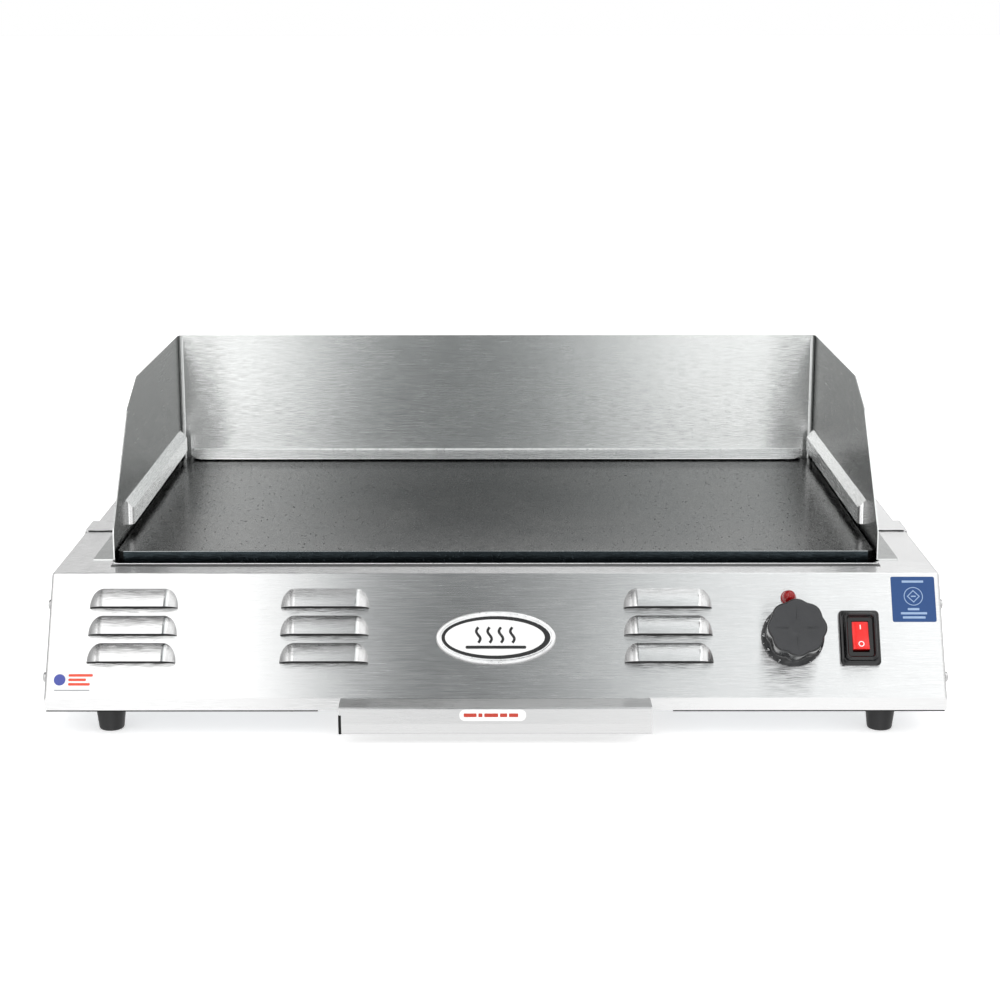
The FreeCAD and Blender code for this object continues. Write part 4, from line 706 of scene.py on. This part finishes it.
def switch_rocker():
    """The rocker, dished between its two ends, with an I and an O; at rest the O is pressed."""
    rest_tilt = math.radians(-7)
    at = placed(Vector(joints["rocker_tilt"]["pos_m"])) @ Matrix.Rotation(rest_tilt, 4, "X")
    half_wide, half_tall, base_tall, base = 6.3, 11.4, 9.0, -3.0
    shell = Shell()
    columns = []
    for step in range(25):
        part = -1 + step / 12
        top = 5.0 + 1.4 * abs(part) ** 1.6 - 0.5 * abs(part) ** 8
        up = part * half_tall
        crown = []
        for across in (-1 + place / 4 for place in range(9)):
            crown.append((across * half_wide, up, top - 0.45 * abs(across) ** 6))
        low_up = max(min(up, base_tall), -base_tall)
        crown.extend([(half_wide, low_up, base), (-half_wide, low_up, base)])
        columns.append(shell.ring(crown))
    shell.loft(columns)
    shell.become("rocker_paddle", at, "power_rocker", "rocker", [ROCKER_RED], ["switch_rocker"],
                 smooth=40)
    marks = Shell()
    marks.slab(rounded_box(0.42, 1.9, 0.3, 3, up=7.0), 5.6, 6.02)
    marks.band(circle(2.35, 40, up=-7.2), circle(1.6, 40, up=-7.2), 5.6, 6.0)
    marks.become("rocker_marks", at, "power_rocker", "rocker", [WHITE_INK])


def pilot_lens():
    """A tall red dome on a low flange."""
    shell = Shell()
    profile = [(0.0, 0.2), (5.4, 0.2), (6.2, 0.3), (6.2, 1.5), (5.5, 2.2), (5.15, 5.4),
               (4.5, 8.2), (2.9, 10.3), (0.0, 11.0)]
    shell.lathe(rounded(profile, 1.3, 5), 48)
    shell.become("lens_dome", panel_at("pilot_lens"), "cabinet", "red_lens", [LENS_RED],
                 ["pilot_lens"], smooth=45)


# ---------------------------------------------------------------- name plate and labels

def name_plate():
    """An oval plate with a bright rim, a black band and a plain graphic of steam over a plate."""
    at = panel_at("name_plate")
    half_x, half_y = 47.5, 21.8
    shell = Shell()
    profile = rounded([(0.6, 0.0), (0.0, 0.5), (0.0, 1.5), (1.0, 2.35), (2.6, 2.4), (3.3, 1.7),
                       (4.3, 1.65)], 0.5, 4)
    rings = [shell.ring(oval(half_x - inset, half_y - inset), height) for inset, height in profile]
    shell.loft(rings, 0, caps=(True, False))
    field = [rings[-1]]
    for inset, height in ((5.0, 1.75), (7.4, 1.95), (12.0, 2.12), (18.0, 2.2)):
        field.append(shell.ring(oval(half_x - inset, half_y - inset), height))
    shell.loft(field, 1, caps=(False, True))
    inner = [(across - 0.9, up) for across, up in oval(half_x - 7.9, half_y - 7.0)]
    shell.band(oval(half_x - 4.3, half_y - 4.3), inner, 1.6, 2.02, 2)
    for across in (-14, -5, 4, 13):
        line = [(across + 1.6 * math.sin(math.tau * step / 24), -4.4 + 12.6 * step / 24)
                for step in range(25)]
        shell.stroke(line, 2.1, 2.0, 2.32, 2)
    shell.slab(rounded_box(24.0, 1.2, 1.1, 4, up=-8.0), 1.9, 2.3, 2)
    shell.become("badge_oval", at, "cabinet", "badge", [BADGE_RIM, WHITE_FILM, BLACK_INK],
                 ["name_plate"], smooth=40)


def label_square():
    """A blue film with a ring, a diamond and bars."""
    at = panel_at("label_square")
    film, ink = Shell(), Shell()
    film.slab(rounded_box(17.5, 18.7, 1.5), 0.0, 0.12, edge=0.05)
    film.become("label_square_film", at, "cabinet", "label_blue", [BLUE_INK], ["label_square"])
    low, high, middle = 0.1, 0.15, 2.4
    ink.band(circle(7.6, up=middle), circle(7.0, up=middle), low, high)
    ink.band(circle(5.2, 4, up=middle), circle(4.2, 4, up=middle), low, high)
    bars = [(0, 14.6, 8.6, 0.9), (0, middle, 2.0, 0.5), (-0.4, -8.2, 4.6, 0.9),
            (-0.3, -11.6, 10.4, 0.9), (-0.3, -15.0, 9.0, 0.9)]
    for across, up, half_wide, half_tall in bars:
        ink.slab(rounded_box(half_wide, half_tall, 0.4, 3, across, up), low, high)
    ink.become("label_square_ink", at, "cabinet", "label_white", [PALE_INK])


def label_striped():
    """A plain disc beside three straight bars of different lengths, over a thin bar."""
    shell = Shell()
    shell.slab(rounded_box(17.5, 8.0, 0.8), 0.0, 0.1, 0, edge=0.05)
    low, high = 0.08, 0.15
    for step, half in enumerate((9.6, 7.0, 8.6)):
        shell.slab(rounded_box(half, 1.05, 0.9, 4, half - 4.2, 5.2 - 3.6 * step), low, high, 1)
    shell.slab(circle(4.6, 40, -11.0, 1.6), low, 0.13, 2)
    shell.slab(rounded_box(14.0, 0.5, 0.4, 3, -1.0, -6.9), low, high, 3)
    shell.become("label_striped_print", panel_at("label_striped"), "cabinet", "label_white",
                 [WHITE_FILM, RED_INK, BLUE_DECAL, GREY_INK], ["label_striped"])


def label_tray():
    """A pill-shaped label on the tray's handle, with plain bars."""
    low, high = (Vector(corner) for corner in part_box("label_tray"))
    back_face = Vector(((low.x + high.x) / 2, high.y, (low.z + high.z) / 2))
    at = placed(back_face, Vector((1, 0, 0)), Vector((0, 0, 1)), Vector((0, -1, 0)))
    shell = Shell()
    shell.slab(rounded_box(26.0, 4.7, 4.5), 0.0, 0.11, 0, edge=0.05)
    for across, half in ((-17.6, 5.0), (-9.6, 1.6), (-1.2, 5.4), (8.4, 2.8), (16.2, 3.6)):
        shell.slab(rounded_box(half, 1.5, 0.5, 3, across), 0.1, 0.15, 1)
    shell.become("label_tray_print", at, "grease_drawer", "label_white", [WHITE_FILM, ORANGE_INK],
                 ["label_tray"])


# ---------------------------------------------------------------- screws and feet

def screw(shell, at, radius, thick, shank, length):
    """A pan-head screw: a domed head with a cross cut in it, on a plain shank."""
    count = 40
    cross_reach, cross_half = 0.6, 0.13

    def ring_at(reach, height):
        return shell.ring([at @ Vector((*spot, height)) for spot in circle(reach, count)])

    rings = [ring_at(shank, -length), ring_at(shank, 0.0), ring_at(radius, 0.0)]
    dome = [(1.0, 0.45), (0.985, 0.62), (0.93, 0.8), (0.82, 0.92), (0.7, 0.97), (0.58, 0.99),
            (0.5, 1.0), (0.42, 1.0), (0.34, 1.0), (0.26, 1.0), (0.18, 1.0), (0.1, 1.0)]
    for reach, height in dome:
        outline = []
        for across, up in circle(radius * reach, count):
            in_cross = reach < cross_reach and min(abs(across), abs(up)) < radius * cross_half
            sink = (0.62 - reach) * 1.1 if in_cross else 0.0
            outline.append(at @ Vector((across, up, thick * (height - sink))))
        rings.append(shell.ring(outline))
    rings.append(shell.ring([at @ Vector((0, 0, thick * 0.35))]))
    shell.loft(rings, caps=(True, False))


def screws():
    """The screws of the two sides point out, those of the bottom point down; each is turned to
    another angle."""
    thick, shank = 2.2, 2.1
    for node, radius in (("side_screws", 4.0), ("bottom_screws", 3.6)):
        shell = Shell()
        for low, high in islands(node):
            low, high = low / MM, high / MM
            middle = (low + high) / 2
            if node == "side_screws":
                side = 1 if middle.x > 0 else -1
                out, across, up = Vector((side, 0, 0)), Vector((0, side, 0)), Vector((0, 0, 1))
                tip = high.x if side > 0 else low.x
                spot = Vector((tip - side * thick, middle.y, middle.z))
                length = high.x - low.x - thick
            else:
                out, across, up = Vector((0, 0, -1)), Vector((1, 0, 0)), Vector((0, -1, 0))
                spot = Vector((middle.x, middle.y, low.z + thick))
                length = high.z - low.z - thick
            turn = Matrix.Rotation(0.7 * len(shell.spots), 4, "Z")
            screw(shell, placed(spot, across, up, out) @ turn, radius, thick, shank, length)
        shell.become(node + "_pan_head", Matrix.Identity(4), "cabinet", "fastener", [PLATED],
                     [node], smooth=40)


def feet():
    """Tapered rubber feet with a rounded tip and a recess for the screw."""
    for node in ("foot_front_left", "foot_front_right", "foot_rear_left", "foot_rear_right"):
        low, high = (Vector(corner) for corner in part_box(node))
        at = Matrix.Translation(((low.x + high.x) / 2, (low.y + high.y) / 2, low.z))
        tall, wide = (high.z - low.z) / MM, (high.x - low.x) / 2 / MM
        profile = [(2.3, tall), (wide, tall), (wide * 0.985, tall - 4.0), (wide * 0.815, 1.2),
                   (wide * 0.74, 0.0), (6.6, 0.0), (5.6, 0.8), (5.5, 10.0), (2.3, 10.0)]
        shell = Shell()
        shell.lathe(rounded(profile, 1.0, 4), 56, closed=True)
        shell.become(node + "_rubber", at, "cabinet", "rubber", [RUBBER], [node])


# ---------------------------------------------------------------- details of the sheet metal, with painted shade and painted highlights

KNOB_AT = (236.0, 49.7)
LOUVER_ACROSS = (-288.3, -135.8, 137.3)
LOUVER_LOW, LOUVER_PITCH, LOUVER_ROWS = 28.4, 22.4, 3
LOUVER_HALF, LOUVER_FLAT, LOUVER_RISE = 35.25, 24.0, 6.0


def louver_mouths():
    """Black sheets of painted shade under the louvers: flat in the middle and curved down at both
    ends.
    The louvers are placed from the middle and the foot of the panel, as the knob is."""
    shell = Shell()
    base, steps = 0.02, 12
    right = [(LOUVER_HALF, base)]
    for step in range(steps + 1):
        turn = math.radians(90 * step / steps)
        right.append((LOUVER_FLAT + (LOUVER_HALF - LOUVER_FLAT) * math.cos(turn),
                      base + (LOUVER_RISE - 0.1) * math.sin(turn)))
    left = [(-reach, height) for reach, height in reversed(right[1:])]
    outline = [(-LOUVER_HALF, base), *right, *left]
    for across in LOUVER_ACROSS:
        for row in range(LOUVER_ROWS):
            up = LOUVER_LOW + row * LOUVER_PITCH - KNOB_AT[1]
            shell.loft([shell.ring([(across - KNOB_AT[0] + reach, up + back, height)
                                    for reach, height in outline]) for back in (-0.25, -0.02)])
    shell.become("louver_mouths", PANEL, "cabinet", "bezel", [SHADOW_BLACK])


def along(name, section, start, end, body, slot, finish):
    """A long piece across the object, from start to end, with a (back, height) section."""
    shell = Shell()
    shell.loft([shell.ring([(across, back, height) for back, height in section])
                for across in (start, end)])
    shell.become(name, Matrix.Identity(4), body, slot, [finish], smooth=50)


def trough_rim():
    """The trough's front rim, folded over the deck and dark as a painted shade of the slot, with a
    bright bead along it as a painted highlight.
    """
    front, back = PLATE_FRONT / MM - 20.3, PLATE_FRONT / MM - 10.2
    section = [(back, DECK - 0.2), (front, DECK - 0.2), (front, DECK + 0.35),
               (front + 0.4, DECK + 0.6), (back - 0.4, DECK + 0.6), (back, DECK + 0.35)]
    along("trough_rim", section, -312.0, 312.0, "cabinet", "tray_steel", RIM_SHADE)
    along("trough_rim_highlight", circle(0.42, 10, back - 2.8, DECK + 0.6), -311.0, 311.0, "cabinet",
          "tray_steel", HIGHLIGHT_BEAD)


# Bright beads along the top and bottom edges of the back strip: painted highlights.
def back_strip_hems():
    low, high = (Vector(corner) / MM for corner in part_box("drip_strip_back"))
    for name, radius, back, height, inset in (
            ("back_strip_highlight", 0.75, high.y - 0.6, high.z - 0.1, 2),
            ("back_strip_edge_highlight", 0.4, low.y + 0.5, low.z + 0.35, 16)):
        along(name, circle(radius, 10, back, height), inset - high.x, high.x - inset,
              "splash_guard_unit", "stainless", HIGHLIGHT_BEAD)


def sheet_folds():
    """Black strips of painted shade under the lip on both sides of the tray, in the end of the
    tray's handle and in the laps of the rear housing over the deck."""
    low, high = (Vector(corner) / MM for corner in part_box("front_panel"))
    side = high.x - 1.5
    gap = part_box("tray_channel")[1][0] / MM + 8
    lip = [(low.y + 0.4, low.z + 0.1), (low.y + 0.4, low.z - 1.1), (low.y + 0.9, low.z - 1.3),
           (low.y + 6.0, low.z - 1.3), (low.y + 6.0, low.z + 0.1)]
    along("lip_shade_right", lip, gap, side, "cabinet", "sheet_inside", SHADOW_BLACK)
    along("lip_shade_left", lip, -side, -gap, "cabinet", "sheet_inside", SHADOW_BLACK)
    handle = Vector(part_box("tray_handle")[0]) / MM
    end = [(handle.y - 0.15, 18.4), (handle.y + 1.3, 9.2), (handle.y + 5.0, 9.2),
           (handle.y + 5.0, 25.0), (handle.y - 0.15, 25.0)]
    along("handle_end_shade", end, handle.x - 0.3, handle.x + 1.9, "grease_drawer", "tray_steel",
          SHADOW_BLACK)
    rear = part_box("rear_housing")[0][1] / MM
    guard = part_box("splash_guard")[1][0] / MM + 0.6
    seam = [(rear - 0.5, DECK - 0.1), (rear + 0.1, DECK - 0.1), (rear + 0.1, DECK + 1.0),
            (rear - 0.5, DECK + 1.0)]
    along("lap_seam_shade_right", seam, guard, side - 1.0, "cabinet", "sheet_inside", SHADOW_BLACK)
    along("lap_seam_shade_left", seam, 1.0 - side, -guard, "cabinet", "sheet_inside", SHADOW_BLACK)


for make in (thermostat_knob, dial_marks, switch_bezel, switch_rocker, pilot_lens, name_plate,
             label_square, label_striped, label_tray, screws, feet, louver_mouths, trough_rim,
             back_strip_hems, sheet_folds):
    make()


# ---------------------------------------------------------------- camera, floor and light

def camera():
    """The lens, place and turn come from a fit to the object's corners."""
    place = Vector((0.005615, -1.82403, 0.55403))
    pitch, yaw, roll = (math.radians(angle) for angle in (-12.887, -0.068, -0.048))
    data = bpy.data.cameras.new("camera")
    data.sensor_width = 36.0
    data.lens = 75.952
    made = bpy.data.objects.new("camera", data)
    bpy.context.scene.collection.objects.link(made)
    ahead = Vector((math.sin(yaw) * math.cos(pitch), math.cos(yaw) * math.cos(pitch),
                    math.sin(pitch)))
    right = Vector((math.cos(yaw), -math.sin(yaw), 0))
    up = right.cross(ahead)
    made.matrix_world = placed(place, right * math.cos(roll) + up * math.sin(roll),
                               up * math.cos(roll) - right * math.sin(roll), -ahead)
    bpy.context.scene.camera = made


def floor():
    """A pale floor that gives a little light of its own and stays out of the reflections."""
    reach = 60.0
    mesh = bpy.data.meshes.new("floor")
    mesh.from_pydata([(-reach, -reach, 0), (reach, -reach, 0), (reach, reach, 0),
                      (-reach, reach, 0)], [], [(0, 1, 2, 3)])
    made = bpy.data.objects.new("floor", mesh)
    bpy.context.scene.collection.objects.link(made)
    made.visible_glossy = False
    finish, graph, shader, where = material("pale_floor", Roughness=0.6)
    shade = graph.noise(where, 3.0)
    graph.feed(shader.inputs["Base Color"], graph.ramp(shade, [(0.3, grey(0.9)),
                                                               (0.7, grey(0.93))]))
    shader.inputs["Emission Color"].default_value = grey(1.0)
    shader.inputs["Emission Strength"].default_value = 0.5
    mesh.materials.append(finish)


def studio():
    """The light, by direction: two wide soft boxes in front with a darker gap between them, dim
    wings beside them, a ceiling that fades to the back, and dark screens far out to each side.
    The camera sees a plain white backdrop in its place."""
    world = bpy.data.worlds.new("studio")
    bpy.context.scene.world = world
    world.use_nodes = True
    world.node_tree.nodes.clear()
    graph = Graph(world.node_tree)
    way = graph.node("ShaderNodeTexCoord").outputs["Generated"]
    sideways, back, height = graph.node("ShaderNodeSeparateXYZ", {0: way}).outputs

    reach = 0.3
    place = graph.remap(sideways, -reach, reach, 0.0, 1.0)

    def across(levels):
        """A grey ramp over the sideways part of the direction, from -reach to reach; its dark
        levels are a little cooler than its light ones."""
        return graph.ramp(place, [((spot + reach) / (2 * reach),
                                   (level * (0.93 + 0.07 * min(level, 1.0)),
                                    level * (0.99 + 0.01 * min(level, 1.0)), level, 1))
                                  for spot, level in levels])

    def times(first, *others):
        for other in others:
            first = graph.math("MULTIPLY", first, other)
        return first

    high_gap = across([
        (-0.3, 1.0), (-0.13, 1.0), (-0.108, 0.85), (-0.09, 0.52), (-0.073, 0.25),
        (-0.055, 0.13), (-0.028, 0.09), (0.004, 0.1), (0.035, 0.2), (0.063, 0.36), (0.09, 0.46),
        (0.125, 0.54), (0.18, 0.62), (0.3, 1.0)])
    low_gap = across([
        (-0.3, 1.0), (-0.13, 1.2), (-0.108, 1.15), (-0.09, 0.66), (-0.073, 0.3),
        (-0.055, 0.19), (-0.028, 0.14), (0.004, 0.19), (0.035, 0.48), (0.063, 0.8), (0.09, 1.1),
        (0.125, 1.15), (0.18, 1.0), (0.3, 1.0)])
    gap = graph.mix(graph.remap(height, 0.25, 0.5, 0.0, 1.0), low_gap, high_gap)
    gap_reach = times(graph.remap(height, -0.38, -0.22, 0.0, 1.0),
                      graph.remap(back, -0.1, 0.3, 1.0, 0.0))
    shade = graph.mix(gap_reach, grey(1.0), gap)

    in_front = graph.remap(back, 0.0, 0.3, 1.0, 0.0)
    overhead = graph.remap(height, 0.15, 0.6, 0.0, 0.7)
    boost = graph.math("ADD", times(graph.math("ADD", overhead, 0.45), in_front), 1.0)
    lifted = graph.remap(height, 0.45, 0.7, 0.0, 1.0)
    aft = times(graph.remap(back, -0.1, 0.3, 0.0, 0.6), lifted)
    ceiling = graph.mix(times(lifted, graph.remap(back, -0.42, -0.05, 0.0, 1.0)), grey(1.0),
                        graph.remap(sideways, -0.12, 0.06, 0.5, 1.9))
    screens = graph.math("ADD", graph.remap(sideways, -0.93, -0.62, 0.6, 0.0),
                         graph.remap(sideways, 0.88, 0.97, 0.0, 0.6))
    dim = 0.55
    wings = graph.ramp(graph.remap(sideways, -1.0, 1.0, 0.0, 1.0), [
        ((spot + 1.0) / 2.0, grey(level)) for spot, level in
        ((-0.66, 1.0), (-0.52, dim), (-0.36, dim), (-0.24, 1.0), (0.24, 1.0), (0.36, dim),
         (0.8, dim), (0.95, 1.0))])
    wing_reach = graph.math("MAXIMUM", in_front, graph.remap(height, 0.0, 0.2, 0.0, 1.0))
    level = times(boost, graph.math("SUBTRACT", 1.0, screens), graph.math("SUBTRACT", 1.0, aft),
                  ceiling, graph.mix(wing_reach, grey(1.0), wings))

    light = graph.node("ShaderNodeBackground", {"Color": graph.scale(shade, level),
                                                "Strength": 1.05})
    backdrop = graph.node("ShaderNodeBackground", {"Color": grey(1.0), "Strength": 1.0})
    seen = graph.node("ShaderNodeLightPath").outputs["Is Camera Ray"]
    chosen = graph.node("ShaderNodeMixShader", {0: seen, 1: light.outputs[0],
                                                2: backdrop.outputs[0]})
    graph.node("ShaderNodeOutputWorld", {"Surface": chosen.outputs[0]})


camera()
floor()
studio()
bpy.context.scene.view_settings.view_transform = "Standard"
